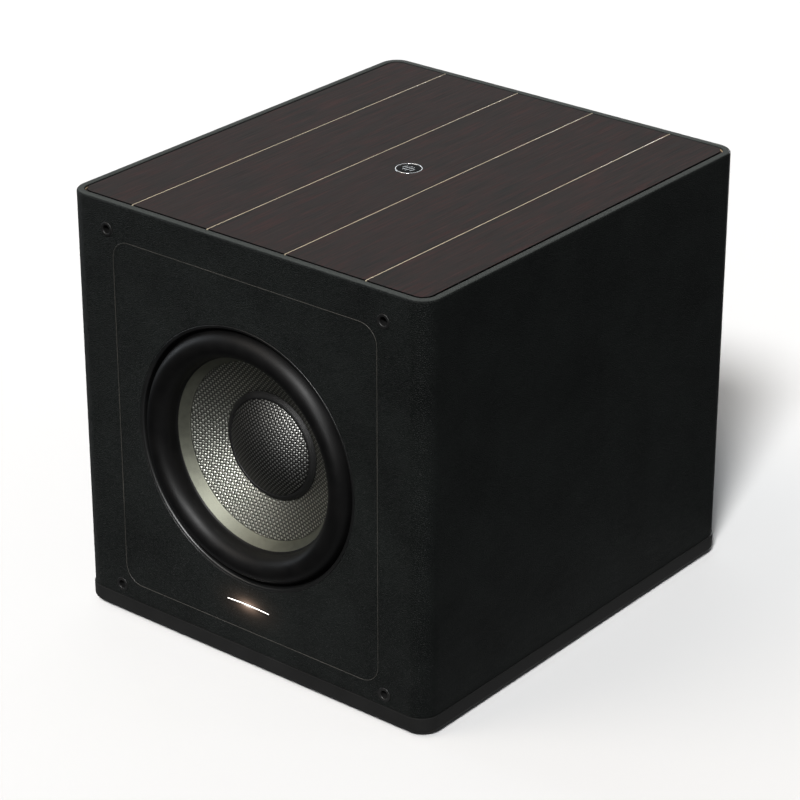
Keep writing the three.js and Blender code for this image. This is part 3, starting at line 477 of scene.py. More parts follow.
def cone_band_metal():
    """A satin champagne band with fine specks."""
    made, tree = material("cone_band_metal")
    specks = spread(tree, cells(tree, place(tree), 420), 0.10, 0.16, 1.0, 0.0)
    soft = noise(tree, place(tree), 140, 4, 0.6)
    colour = mix(tree, stretched(tree, soft), (0.105, 0.107, 0.087), (0.135, 0.138, 0.112))
    colour = mix(tree, times(tree, specks, 0.4), colour, (0.05, 0.048, 0.04))
    uneven = stretched(tree, soft, 0.54, 0.60)
    dress(tree, colour, uneven, bump(tree, soft, 0.08, 0.0001), Metallic=1.0)
    return made


def weave(name, pitch, yarn, under, painted_gap_shade, gloss, lift):
    """A plain weave pressed from flat cloth with level and upright yarns. The yarns of every other cell are
    darker, as painted shade for how light falls on them, and the ground between the crests is near black, as
    painted shade.
    """
    made, tree = material(name)
    parts = axes(tree, place(tree))
    wobble = times(tree, maths(tree, "SUBTRACT", noise(tree, place(tree), 45, 2), 0.5), 0.35)
    u, v = (maths(tree, "ADD", maths(tree, "DIVIDE", parts[axis], pitch), wobble) for axis in "XZ")
    cell = maths(tree, "ADD", maths(tree, "FLOOR", u), maths(tree, "FLOOR", v))
    checker = maths(tree, "FLOORED_MODULO", cell, 2.0)

    def arch(value):
        """1 in the middle of a cell, 0 at its edges."""
        from_middle = maths(tree, "SUBTRACT", maths(tree, "FRACT", value), 0.5)
        return maths(tree, "COSINE", times(tree, from_middle, math.pi))

    def crossing(across, along):
        """The yarn on top of a cell: round across its width, and diving under at both ends."""
        body = maths(tree, "POWER", maths(tree, "MAXIMUM", across, 0.0), 0.55)
        return times(tree, body, maths(tree, "MULTIPLY_ADD", along, 0.62, 0.38))

    weft, warp = crossing(arch(v), arch(u)), crossing(arch(u), arch(v))
    height = add(tree, "ShaderNodeMix", {0: checker, 2: weft, 3: warp}).outputs[0]
    strands = add(tree, "ShaderNodeMix", {
        0: checker,
        2: noise(tree, place(tree, (300, 1, 5200)), 1.0, 2),
        3: noise(tree, place(tree, (5200, 1, 300)), 1.0, 2),
    }).outputs[0]
    crest = spread(tree, height, 0.22, 0.80)
    tone = mix(tree, stretched(tree, strands), [c * 0.78 for c in yarn], yarn)
    # Painted shade: every other cell's yarn is painted darker, for how light falls on it.
    tone = mix(tree, checker, tone, under)
    # Painted shade: the low ground between the crests is painted near black.
    colour = mix(tree, crest, painted_gap_shade, tone)
    roughness = spread(tree, height, 0.2, 0.9, gloss[1], gloss[0])
    relief = maths(tree, "ADD", height, times(tree, strands, 0.10))
    dress(tree, colour, roughness, bump(tree, relief, 1.0, lift), Metallic=1.0)
    return made


def lit_diffuser():
    """A milky bar that is brightest in its middle."""
    made, tree = material("lit_diffuser")
    along = maths(tree, "DIVIDE", axes(tree, place(tree))["X"], LIGHT_HALF * MM)
    fade = maths(tree, "SUBTRACT", 1.0, times(tree, times(tree, along, along), 0.55))
    cloud = stretched(tree, noise(tree, place(tree), 300, 2), 0.94, 1.0)
    tint = mix(tree, fade, (1.0, 0.90, 0.84), (1.0, 0.965, 0.92))
    glow = times(tree, times(tree, fade, cloud), 3.2)
    dress(tree, (0.9, 0.88, 0.84), 0.35, Emission_Color=tint, Emission_Strength=glow)
    return made


def ringed(name, dark, pale, spacing, roughness, metallic):
    """Turned metal or wound wire: fine rings along Y."""
    made, tree = material(name)
    along = axes(tree, place(tree))["Y"]
    wave = maths(tree, "SINE", times(tree, along, 2 * math.pi / spacing))
    soft = noise(tree, place(tree), 200, 3)
    colour = mix(tree, stretched(tree, soft), dark, pale)
    dress(tree, colour, roughness, bump(tree, wave, 0.25, spacing * 0.2), Metallic=metallic)
    return made


def fibrous(name, dark, pale, scale):
    """Raw board, felt or wadding."""
    made, tree = material(name)
    fibres = noise(tree, place(tree), scale, 6, 0.75)
    colour = mix(tree, spread(tree, fibres, 0.25, 0.75), dark, pale)
    dress(tree, colour, 0.9, bump(tree, fibres, 0.35, 0.0004))
    return made


LIGHT_MIDDLE = centre("light_bar")
LIGHT_MIDDLE.y = FRONT_Y

LOOKS = {
    "leather": leather("black_leather", rolled_edge=TOP_Z),
    # The fascia's leather has a painted glow around the lit bar.
    "fascia": leather("fascia_leather", LIGHT_MIDDLE),
    "plinth": grained(
        "plinth_lacquer", (0.0062, 0.0063, 0.0062), (0.0088, 0.0089, 0.0087), (0.50, 0.62), 700, 0.2,
        Specular_IOR_Level=0.27),
    "veneer": veneer(),
    "maple": maple(),
    "rubber": rubber(),
    "foot_rubber": grained("foot_rubber", grey(0.010), grey(0.016), (0.6, 0.75), 500, 0.3),
    "trim": grained(
        "trim_black", (0.0040, 0.0042, 0.0042), (0.0060, 0.0062, 0.0062), (0.34, 0.42), 900, 0.06, 0.00005,
        Specular_IOR_Level=0.5),
    "socket": grained("socket_plastic", grey(0.0030), grey(0.0045), (0.44, 0.56), 800, 0.1),
    "chrome": polished("chrome", (0.86, 0.87, 0.88)),
    "enamel": grained(
        "badge_enamel", (0.004, 0.0042, 0.0045), (0.007, 0.0072, 0.0076), (0.45, 0.55), 300, 0.04,
        Specular_IOR_Level=0.05),
    "band": cone_band_metal(),
    # In each weave the second colour is painted shade on every other cell, and the third is painted shade
    # between the crests.
    "cone": weave(
        "cone_weave", 0.00245, (0.90, 0.90, 0.80), (0.30, 0.30, 0.26), grey(0.005), (0.33, 0.43), 0.00030),
    "cap": weave(
        "cap_weave", 0.00215, (0.27, 0.27, 0.257), (0.050, 0.050, 0.048), (0.003, 0.003, 0.004), (0.42, 0.50),
        0.00034),
    "cap_rim": grained(
        "cap_rim", grey(0.003), grey(0.006), (0.40, 0.52), 1500, 0.6, 0.0004, Specular_IOR_Level=0.2),
    "light": lit_diffuser(),
    # Painted highlight: the seam cord is paler than the hide, for light along the seam's edge.
    "seam": grained("seam_cord", (0.026, 0.025, 0.022), (0.046, 0.043, 0.037), (0.42, 0.55), 2200, 0.4),
    "alloy": grained(
        "cast_alloy", (0.016, 0.016, 0.017), (0.026, 0.026, 0.028), (0.42, 0.55), 600, 0.3, Metallic=0.5),
    "steel": grained(
        "plated_steel", (0.36, 0.37, 0.38), (0.48, 0.49, 0.50), (0.28, 0.40), 260, 0.08, Metallic=1.0),
    "ferrite": grained("ferrite", (0.045, 0.045, 0.048), (0.070, 0.070, 0.074), (0.6, 0.75), 500, 0.4),
    "copper": ringed("copper_winding", (0.50, 0.22, 0.10), (0.66, 0.32, 0.16), 0.0008, 0.32, 0.95),
    "tube": ringed("former_foil", (0.42, 0.43, 0.45), (0.55, 0.56, 0.58), 0.003, 0.35, 1.0),
    "cloth": fibrous("spider_cloth", (0.36, 0.25, 0.10), (0.56, 0.42, 0.20), 900),
    "board": fibrous("cabinet_board", (0.34, 0.24, 0.145), (0.50, 0.37, 0.235), 320),
    "wadding": fibrous("wadding", (0.50, 0.50, 0.48), (0.74, 0.74, 0.71), 90),
    "foam": fibrous("gasket_foam", (0.012, 0.012, 0.013), (0.030, 0.030, 0.032), 900),
    "circuit": grained("circuit_board", (0.008, 0.070, 0.030), (0.014, 0.115, 0.052), (0.35, 0.5), 130, 0.15),
    "anodised": grained(
        "anodised_black", (0.0145, 0.0150, 0.0160), (0.0165, 0.0170, 0.0182), (0.46, 0.49), 1500, 0.12,
        0.00006, Metallic=0.6),
    "plastic": grained(
        "moulded_plastic", (0.0125, 0.0128, 0.0135), (0.0170, 0.0174, 0.0182), (0.42, 0.54), 1100, 0.14),
    "screw": grained(
        "black_screw", (0.020, 0.020, 0.021), (0.034, 0.034, 0.036), (0.30, 0.40), 900, 0.1, Metallic=0.7),
    "print": grained("printed_marks", (0.55, 0.55, 0.53), (0.62, 0.62, 0.60), (0.55, 0.65), 900, 0.05),
    "nickel": polished("nickel", (0.62, 0.60, 0.56), 0.2),
    "red": grained("red_insert", (0.34, 0.018, 0.014), (0.42, 0.026, 0.020), (0.4, 0.5), 700, 0.1),
    "white": grained("white_insert", (0.60, 0.60, 0.57), (0.70, 0.70, 0.67), (0.4, 0.5), 700, 0.1),
}


# ---------------------------------------------------------------- meshes


def new_piece(name, mesh, look, slot, *nodes, body=CABINET, smooth_angle=35):
    """Shows a finished mesh as a piece that rides on a body, in the place of any CAD nodes named."""
    mesh.name = name
    obj = linked(name, mesh)
    mesh.polygons.foreach_set("use_smooth", [True] * len(mesh.polygons))
    mesh.set_sharp_from_angle(angle=math.radians(smooth_angle))
    mesh.materials.clear()
    mesh.materials.append(LOOKS[look])
    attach(obj, body)
    if nodes:
        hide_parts(*nodes)
    return obj


def mesh_from(vertices, faces):
    """A mesh with shared vertices and faces that point outwards."""
    mesh = bpy.data.meshes.new("mesh")
    mesh.from_pydata(vertices, [], faces)
    shell = bmesh.new()
    shell.from_mesh(mesh)
    bmesh.ops.remove_doubles(shell, verts=shell.verts, dist=1e-7)
    bmesh.ops.recalc_face_normals(shell, faces=shell.faces)
    shell.to_mesh(mesh)
    shell.free()
    return mesh


def arc(middle, radii, start, end, steps):
    """Points of an elliptical arc, with angles in degrees."""
    angles = [math.radians(start + (end - start) * i / steps) for i in range(steps + 1)]
    return [(middle[0] + radii[0] * math.cos(a), middle[1] + radii[1] * math.sin(a)) for a in angles]


def circle(radius, steps, middle=(0, 0)):
    """A circle's points, without the first again at the end."""
    return arc(middle, (radius, radius), 0, 360 - 360 / steps, steps - 1)


def turned(profile, axis_point, axis="Y", segments=ROUND):
    """A closed profile of (radius, height) points in millimetres, turned about an axis through axis_point."""
    rings, faces = [], []
    count = len(profile)
    for i in range(segments):
        angle = 2 * math.pi * i / segments
        c, s = math.cos(angle), math.sin(angle)
        for radius, height in profile:
            r, h = radius * MM, height * MM
            offset = (r * c, h, r * s) if axis == "Y" else (r * c, r * s, h)
            rings.append(Vector(axis_point) + Vector(offset))
    for i in range(segments):
        j = (i + 1) % segments
        for k in range(count):
            m = (k + 1) % count
            faces.append((i * count + k, j * count + k, j * count + m, i * count + m))
    return mesh_from(rings, faces)


def outline(half_x, half_y, radius, steps=16):
    """A rounded rectangle's points, in order."""
    points = []
    for i, (sx, sy) in enumerate(((1, 1), (-1, 1), (-1, -1), (1, -1))):
        middle = (sx * (half_x - radius), sy * (half_y - radius))
        points += arc(middle, (radius, radius), 90 * i, 90 * i + 90, steps)
    return points


def level_ring(node, radius, inset, z):
    """A node's rounded outline seen from above, set in by an inset and laid at a height."""
    low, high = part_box(node)
    middle, half = (low + high) / 2, (high - low) / 2
    points = outline(half.x - inset, half.y - inset, radius - inset, 14)
    return [(x + middle.x, y + middle.y, z) for x, y in points]


def upright_outline(node, radius, grow=0.0, steps=16):
    """A node's outline in X and Z, grown all round, with corners of a radius."""
    low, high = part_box(node)
    middle, half = (low + high) / 2, (high - low) / 2
    return [(x + middle.x, z + middle.z) for x, z in outline(half.x + grow, half.z + grow, radius, steps)]


def lofted(rings, closed=False):
    """Rings of equal length joined in order. A closed loft joins last to first, and an open one has caps."""
    size = len(rings[0])
    vertices = [point for ring in rings for point in ring]
    faces = []
    for i in range(len(rings) if closed else len(rings) - 1):
        j = (i + 1) % len(rings)
        for k in range(size):
            m = (k + 1) % size
            faces.append((i * size + k, i * size + m, j * size + m, j * size + k))
    if not closed:
        faces.append(tuple(range(size)))
        faces.append(tuple(range((len(rings) - 1) * size, len(rings) * size)))
    return mesh_from(vertices, faces)


def applied(obj, *helpers):
    """The object's mesh with its modifiers applied. The object and its helpers are removed."""
    bpy.context.view_layer.update()
    result = bpy.data.meshes.new_from_object(obj.evaluated_get(bpy.context.evaluated_depsgraph_get()))
    for used in (obj, *helpers):
        bpy.data.objects.remove(used)
    return result


def carved(mesh, *tools):
    """The mesh with each tool's mesh cut out of it."""
    target = linked("carved", mesh)
    cutters = [linked("cutter", tool) for tool in tools]
    for cutter in cutters:
        cut = target.modifiers.new("cut", "BOOLEAN")
        cut.operation = "DIFFERENCE"
        cut.solver = "EXACT"
        cut.object = cutter
    return applied(target, *cutters)


def softened(mesh, width, segments=3):
    """The mesh with its sharp edges rounded."""
    obj = linked("softened", mesh)
    edge = obj.modifiers.new("edge", "BEVEL")
    edge.width = width
    edge.segments = segments
    edge.limit_method = "ANGLE"
    edge.angle_limit = math.radians(40)
    edge.miter_outer = "MITER_ARC"
    return applied(obj)


def keep_flat(obj):
    """Broad faces set the shading, so that a flat side stays flat up to its rounded edge."""
    flat = obj.modifiers.new("flat", "WEIGHTED_NORMAL")
    flat.mode = "FACE_AREA"
    flat.weight = 100
    flat.keep_sharp = True


def from_node(node):
    """A clean copy of a CAD node's mesh, with its flat faces whole."""
    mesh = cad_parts[node].data.copy()
    shell = bmesh.new()
    shell.from_mesh(mesh)
    bmesh.ops.remove_doubles(shell, verts=shell.verts, dist=2e-6)
    bmesh.ops.dissolve_limit(shell, angle_limit=math.radians(0.6), verts=shell.verts, edges=shell.edges)
    shell.to_mesh(mesh)
    shell.free()
    return mesh


def joined(meshes):
    """Several meshes as one."""
    shell = bmesh.new()
    for mesh in meshes:
        shell.from_mesh(mesh)
    result = bpy.data.meshes.new("joined")
    shell.to_mesh(result)
    shell.free()
    return result


def moved(mesh, place_at, turn=None):
    made = mesh.copy()
    made.transform(Matrix.Translation(place_at) @ (turn or Matrix.Identity(4)))
    return made


def slab(low, high):
    """A box between two corners, in metres."""
    (x0, y0, z0), (x1, y1, z1) = low, high
    rings = [[(x0, y0, z), (x1, y0, z), (x1, y1, z), (x0, y1, z)] for z in (z0, z1)]
    return lofted(rings)


def block(low, high):
    """A box between two corners, in millimetres."""
    return slab([c * MM for c in low], [c * MM for c in high])


def plate_y(points, y0, y1, middle=(0, 0)):
    """An outline in X and Z, given depth from y0 to y1."""
    mx, mz = middle
    return lofted([[(x + mx, y, z + mz) for x, z in points] for y in (y0, y1)])


# ---------------------------------------------------------------- cabinet


def leather_wrap():
    """The hide around all four sides, rolled over the top edge and down into the groove beside the wood."""
    low, top = WRAP_LOW.z, WRAP_HIGH.z
    roll, lip, rim, skin = 2.4 * MM, 1.7 * MM, 7.3 * MM, 1.5 * MM
    section = [(skin, low), (0.5 * MM, low), (0.1 * MM, low + 0.2 * MM), (0, low + 0.7 * MM)]
    section += [(roll - x, top - roll + z) for x, z in arc((0, 0), (roll, roll), 0, 90, 10)]
    section += [(rim - lip + x, top - lip + z) for x, z in arc((0, 0), (lip, lip), 90, 0, 6)]
    section += [(rim, top - 6 * MM), (skin, top - 6 * MM)]
    rings = [level_ring("leather_wrap", EDGE_RADIUS, inset, z) for inset, z in section]
    fascia_hole = upright_outline("front_fascia", FASCIA_RADIUS + SLIT, SLIT)
    plate_hole = upright_outline("amp_plate", PLATE_RADIUS, SLIT)
    tools = [
        plate_y(fascia_hole, FRONT_Y - 0.01, FRONT_Y + 0.006),
        plate_y(plate_hole, BACK_Y - 0.006, BACK_Y + 0.01),
    ]
    hole = circle(6.9 * MM, 40)
    for i in range(1, 5):
        socket = centre(f"grille_socket_{i}")
        tools.append(plate_y(hole, FRONT_Y - 0.01, FRONT_Y + 0.006, (socket.x, socket.z)))
    shell = carved(lofted(rings, closed=True), *tools)
    keep_flat(new_piece("leather_shell", shell, "leather", "black_leather", "leather_wrap"))


def seam_cord():
    """A fine rolled edge that fills the line around the fascia. Its paler colour is a painted highlight along
    the seam.
    """
    radius = 0.32 * MM

    def ring(angle):
        grow = 0.15 * MM + radius * math.cos(angle)
        y = FRONT_Y + 0.12 * MM - radius * math.sin(angle)
        return [(x, y, z) for x, z in upright_outline("front_fascia", FASCIA_RADIUS + grow, grow, 14)]

    cord = lofted([ring(2 * math.pi * i / 10) for i in range(10)], closed=True)
    new_piece("seam_cord", cord, "seam", "black_leather", smooth_angle=80)


def fascia():
    """The leather panel in the front, with the driver's opening and the lit bar's slot."""
    low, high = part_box("front_fascia")
    plate = plate_y(upright_outline("front_fascia", FASCIA_RADIUS), low.y, high.y)
    hole = plate_y(circle(123.3 * MM, ROUND), FRONT_Y - 0.01, FRONT_Y + 0.01, (0, DRIVER_Z))
    plate = softened(carved(plate, hole, light_shape(0.5, -10, 10)), 0.45 * MM)
    keep_flat(new_piece("fascia_leather", plate, "fascia", "black_leather", "front_fascia"))


def light_shape(grow, front, back):
    """The lit bar's arched outline, grown all round, between two depths behind the face, in millimetres."""
    sag, thick = 0.9, 1.0
    radius = (LIGHT_HALF ** 2 + sag ** 2) / (2 * sag)
    angle = math.degrees(math.asin((LIGHT_HALF + grow) / radius))
    upper = arc((0, 0), (radius + thick / 2 + grow,) * 2, 90 - angle, 90 + angle, 24)
    lower = arc((0, 0), (radius - thick / 2 - grow,) * 2, 90 + angle, 90 - angle, 24)
    drop = radius - sag / 2
    points = [(x * MM, (z - drop) * MM) for x, z in upper + lower]
    return plate_y(points, FRONT_Y + front * MM, FRONT_Y + back * MM, (0, LIGHT_MIDDLE.z))


def light_bar():
    """The lit bar in a thin black frame, and the dark lip below it."""
    bar = softened(light_shape(-0.12, -0.35, 7), 0.35 * MM, 3)
    new_piece("lit_bar", bar, "light", "light_diffuser", "light_bar")
    rim = carved(light_shape(0.5, -0.12, 5), light_shape(0.0, -10, 10))
    new_piece("light_frame", rim, "trim", "satin_black")
    lip = softened(moved(light_shape(-0.35, -0.30, 1.0), Vector((0, 0, -2.3 * MM))), 0.12 * MM, 2)
    new_piece("light_lip", lip, "trim", "satin_black")


def strip_box(i):
    """An inlay strip's corners. The strip shows three quarters of its node's width."""
    low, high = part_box(f"inlay_{i}")
    trim = (high.x - low.x) / 8
    return Vector((low.x + trim, low.y, low.z)), Vector((high.x - trim, high.y, high.z))


def wood_top():
    """Five planks with a hair's bevel along each inlay strip."""
    top = WOOD_HIGH.z
    section = [(0, WOOD_LOW.z), (0, top - 2.4 * MM), (1.4 * MM, top - 2.2 * MM)]
    section += [(1.45 * MM, top - 0.2 * MM), (1.5 * MM, top - 0.06 * MM), (1.6 * MM, top)]
    panel = lofted([level_ring("wood_top", WOOD_RADIUS, inset, z) for inset, z in section])
    wider = Vector((0.05 * MM, 0.01, 0))
    grooves = []
    for i in range(1, 5):
        low, high = strip_box(i)
        grooves.append(slab(low - wider, (*(high + wider).xy, 1)))
    panel = carved(panel, *grooves)
    keep_flat(new_piece("veneer_panel", panel, "veneer", "dark_ebony", "wood_top"))
    for i in range(1, 5):
        strip = softened(slab(*strip_box(i)), 0.08 * MM, 2)
        new_piece(f"inlay_strip_{i}", strip, "maple", "maple", f"inlay_{i}")


def badge():
    """A plain medallion: a polished ring, a dark disc, and a row of slanting bars."""
    ring_low, ring_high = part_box("badge_ring")
    middle = centre("badge_ring")
    at = Vector((middle.x, middle.y, ring_low.z))
    high = (ring_high.z - ring_low.z) / MM
    ring = [(11.2, 0), (12.5, 0), (12.5, high - 0.5)]
    ring += arc((12.0, high - 0.5), (0.5, 0.5), 0, 90, 6) + arc((11.7, high - 0.5), (0.5, 0.5), 90, 180, 6)
    new_piece("badge_rim", turned(ring, at, "Z", 96), "chrome", "chrome", "badge_ring")
    disc = [(0, 0), (11.0, 0), (11.0, 0.5), (10.4, 0.95), (0, 0.95)]
    disc_mesh = turned(disc, at, "Z", 96)
    new_piece("badge_disc_enamel", disc_mesh, "enamel", "dark_metal", "badge_disc")
    bars = []
    lean = Matrix.Rotation(math.radians(-16), 4, "Z")
    for i, length in enumerate((6.0, 11.0, 11.0, 6.0)):
        x = 3.6 * (i - 1.5)
        bar = block((x - 0.5, -length / 2, 0.7), (x + 0.5, length / 2, high - 0.05))
        bars.append(moved(softened(bar, 0.15 * MM, 3), at, lean))
    new_piece("badge_bars", joined(bars), "chrome", "chrome")


def plinth():
    """A lacquered board with a rounded lower edge."""
    low, high = PLINTH_LOW.z, PLINTH_HIGH.z
    edge = 4 * MM
    section = [(edge - x, low + edge + z) for x, z in arc((0, 0), (edge, edge), -90, 0, 8)]
    section += [(0, high - 0.6 * MM), (0.12 * MM, high - 0.2 * MM), (0.5 * MM, high)]
    base = lofted([level_ring("plinth", PLINTH_RADIUS, inset, z) for inset, z in section])
    keep_flat(new_piece("plinth_board", base, "plinth", "plinth_black", "plinth"))


def feet():
    """Four rubber feet, each with a turned groove above its tread."""
    for i in range(1, 5):
        low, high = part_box(f"foot_{i}")
        height = (high.z - low.z) / MM
        section = [(0, 0.4), (15.0, 0.4), (15.4, 0.0), (17.6, 0.0), (18.3, 0.3), (18.9, 2.2), (18.5, 2.6)]
        section += [(18.5, 3.4), (19.1, 3.8), (19.9, height - 0.5), (19.6, height), (0, height)]
        at = Vector((*centre(f"foot_{i}").xy, low.z))
        pad = turned(section, at, "Z", 72)
        new_piece(f"foot_pad_{i}", pad, "foot_rubber", "rubber_black", f"foot_{i}")


def grille_sockets():
    """A cup with a flared mouth in each corner of the front."""
    section = [(0, 12.0), (3.8, 12.0), (3.8, 0.9)] + arc((4.6, 0.5), (0.8, 0.9), 180, 270, 5)
    section += arc((5.9, 0.1), (0.8, 0.5), 270, 360, 5) + [(6.7, 14.0), (0, 14.0)]
    for i in range(1, 5):
        socket = centre(f"grille_socket_{i}")
        mesh = turned(section, Vector((socket.x, FRONT_Y, socket.z)), "Y", 64)
        new_piece(f"socket_cup_{i}", mesh, "socket", "satin_black", f"grille_socket_{i}")


# ---------------------------------------------------------------- driver, in millimetres behind the face


def at_driver(profile, segments=ROUND):
    return turned(profile, Vector((0, FRONT_Y, DRIVER_Z)), "Y", segments)


def flex(obj, fixed_radius, moving_radius):
    """Lets the piece bend between the cabinet and the cone, by its millimetres from the driver's axis."""
    fixed, moving = ((0, FRONT_Y, DRIVER_Z + r * MM) for r in (fixed_radius, moving_radius))
    world = obj.matrix_world.copy()
    obj.parent = None
    obj.matrix_world = world
    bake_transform(obj, CABINET, CONE, start=fixed, end=moving)
    for vertex, weight in zip(obj.data.vertices, obj.data.attributes["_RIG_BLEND"].data):
        radius = math.hypot(vertex.co.x, vertex.co.z - DRIVER_Z) / MM
        share = min(1, max(0, (fixed_radius - radius) / (fixed_radius - moving_radius)))
        weight.value = share * share * (3 - 2 * share)


def trim_ring():
    """The black ring around the driver: a rounded inner lip, an outer bead, and a flange behind them."""
    section = [(119.5, 10.7), (119.5, 2.8)] + arc((121.9, 2.5), (2.4, 2.4), 180, 270, 12)[1:]
    section += arc((122.5, 0.15), (0.55, 0.45), 180, 360, 8) + [(123.05, 5.1), (131, 5.1), (131, 10.7)]
    ring = at_driver(section)
    new_piece("trim_ring_fine", ring, "trim", "satin_black", "driver_trim_ring")


def surround():
    """A half-roll between two flat feet, with a fine bead outside it."""
    outer = arc((104.4, 10.0), (13.0, 16.0), 0, -180, 48)
    inner = arc((104.4, 10.0), (11.3, 14.4), -180, 0, 36)
    section = [(119.2, 10.6), (119.2, 9.6)] + arc((118.55, 9.5), (0.6, 0.75), 0, -180, 8)
    section += outer[1:-1] + [(91.2, 11.3), (90.5, 12.5), (89.9, 12.9), (90.3, 13.6)]
    section += [(91.9, 13.2), (92.9, 10.6)] + inner[1:-1] + [(116.0, 10.6)]
    mesh = at_driver(section)
    roll = new_piece("surround_roll", mesh, "rubber", "rubber_black", "surround", smooth_angle=60)
    flex(roll, 117.4, 91.4)


def cone():
    """The band at the cone's edge, and the woven cone, which bulges a little between its edges."""
    band = [(90.5, 12.95), (90.1, 13.35), (83.3, 21.05), (82.85, 21.5)]
    band += [(82.95, 21.95), (83.9, 22.6), (91.6, 13.9)]
    new_piece("cone_edge_band", at_driver(band), "band", "cone_metal", "cone_band", body=CONE)
    outer, inner, bulge, slope, steps = 82.55, 33.2, 0.35, 0.4686, 20
    span = outer - inner

    def depth(radius):
        return 21.95 + (82.4 - radius) * slope - bulge * math.sin(math.pi * (outer - radius) / span)

    radii = [outer - span * i / steps for i in range(steps + 1)]
    front = [(r, depth(r)) for r in radii]
    back = [(r + 0.5, d + 1.1) for r, d in reversed(front)]
    shell = at_driver(front + back)
    new_piece("woven_cone", shell, "cone", "cone_weave", "cone", body=CONE, smooth_angle=60)


def dust_cap():
    """A woven dome inside a rolled rim."""
    dome, dome_depth, rise = 45.0, 33.0, 14.0
    sphere = (dome ** 2 + rise ** 2) / (2 * rise)
    steps = 28

    def crown(radius, under=0.0):
        return dome_depth - rise + sphere - math.sqrt(sphere ** 2 - radius ** 2) + under

    radii = [dome * (1 - i / steps) for i in range(steps + 1)]
    front = [(r, crown(r)) for r in radii]
    back = [(r, crown(r, 1.3)) for r in reversed(radii)]
    shell = at_driver(front + back)
    new_piece("woven_cap", shell, "cap", "cap_weave", "dust_cap", body=CONE, smooth_angle=60)
    rim = [(50.9, 36.1), (50.7, 35.5), (49.6, 34.5), (48.3, 33.3), (47.0, 32.5), (45.9, 32.3)]
    rim += [(45.1, 32.6), (44.7, 33.2), (45.2, 34.4), (46.6, 34.3), (48.6, 35.6), (50.1, 36.6)]
    new_piece("cap_rim", at_driver(rim), "cap_rim", "cap_weave", body=CONE, smooth_angle=60)


def spider():
    """A corrugated cloth ring between the basket and the coil."""
    inner, outer, depth, waves = 33.1, 69.5, 60.4, 6
    steps = 72

    def wave(i):
        radius = outer + (inner - outer) * i / steps
        return radius, depth + 1.6 * math.sin(2 * math.pi * waves * i / steps)

    front = [wave(i) for i in range(steps + 1)]
    back = [(r, d + 0.6) for r, d in reversed(front)]
    mesh = at_driver(front + back, 96)
    cloth = new_piece("spider_cloth", mesh, "cloth", "spider_cloth", "spider", smooth_angle=60)
    flex(cloth, 66.0, 36.0)


# ---------------------------------------------------------------- amplifier panel


def at_plate(node):
    """The point on the plate's outer face behind a node's middle."""
    middle = centre(node)
    return Vector((middle.x, PLATE_HIGH.y, middle.z))


def refined(name, node, look, slot, width, body=CABINET):
    """The CAD node's own shape with its edges rounded, by a width in millimetres."""
    piece = new_piece(name, softened(from_node(node), width * MM, 2), look, slot, node, body=body)
    keep_flat(piece)
    return piece


def screw(radius, high):
    """A pan head with a cross recess, which looks along +Y from its seat."""
    head = [(0, 0.02), (radius, 0.02), (radius, 0.3)] + arc((0, 0.3), (radius, high - 0.3), 0, 90, 8)
    blank = turned(head, Vector((0, 0, 0)), "Y", 32)
    arm, thin, bottom = 0.58 * radius, 0.14 * radius, 0.45 * high
    cross = [block((-x, bottom, -z), (x, 1000, z)) for x, z in ((arm, thin), (thin, arm))]
    return carved(blank, *cross)


def plate_screws():
    """Ten screws around the panel's border, each turned to its own angle."""
    blank = screw(3.3, 1.7)
    half_x = (PLATE_HIGH.x - PLATE_LOW.x) / 2 - 6 * MM
    half_z = (PLATE_HIGH.z - PLATE_LOW.z) / 2 - 6 * MM
    middle_z = (PLATE_HIGH.z + PLATE_LOW.z) / 2
    spots = [(x, z) for x in (-1, 0, 1) for z in (-1, 1)] + [(x, z) for x in (-1, 1) for z in (-1 / 3, 1 / 3)]
    for i, (x, z) in enumerate(spots):
        at = Vector((x * half_x, PLATE_HIGH.y, middle_z + z * half_z))
        turn = Matrix.Rotation(math.radians(37 * i), 4, "Y")
        new_piece(f"plate_screw_{i + 1}", moved(blank, at, turn), "screw", "anodised_black")


def ribbon(points, width, thickness=0.07 * MM):
    """A thin printed line through points in X and Z, in metres, on a face that looks along +Y."""
    left, right = [], []
    for i, point in enumerate(points):
        before, after = Vector(points[max(0, i - 1)]), Vector(points[min(len(points) - 1, i + 1)])
        along = (after - before).normalized()
        side = Vector((-along.y, along.x)) * (width / 2)
        left.append(Vector(point) + side)
        right.append(Vector(point) - side)
    rings = []
    for a, b in zip(left, right):
        rings.append([(a.x, 0, a.y), (b.x, 0, b.y), (b.x, thickness, b.y), (a.x, thickness, a.y)])
    return lofted(rings)


def dial_marks(node):
    """Eleven ticks over the knob's travel, with the two ends and the middle longer."""
    marks = []
    for i in range(11):
        angle = math.radians(-150 + 30 * i)
        outer = 17.4 if i in (0, 5, 10) else 16.2
        tick = [(r * MM * math.sin(angle), r * MM * math.cos(angle)) for r in (14.0, outer)]
        marks.append(moved(ribbon(tick, 0.55 * MM), at_plate(node)))
    return marks


def sign(node, below, *lines, width=0.42):
    """Small printed lines below a control. Points are millimetres right and up, as seen from behind."""
    at = at_plate(node) - Vector((0, 0, below * MM))
    return [moved(ribbon([(-x * MM, z * MM) for x, z in line], width * MM), at) for line in lines]


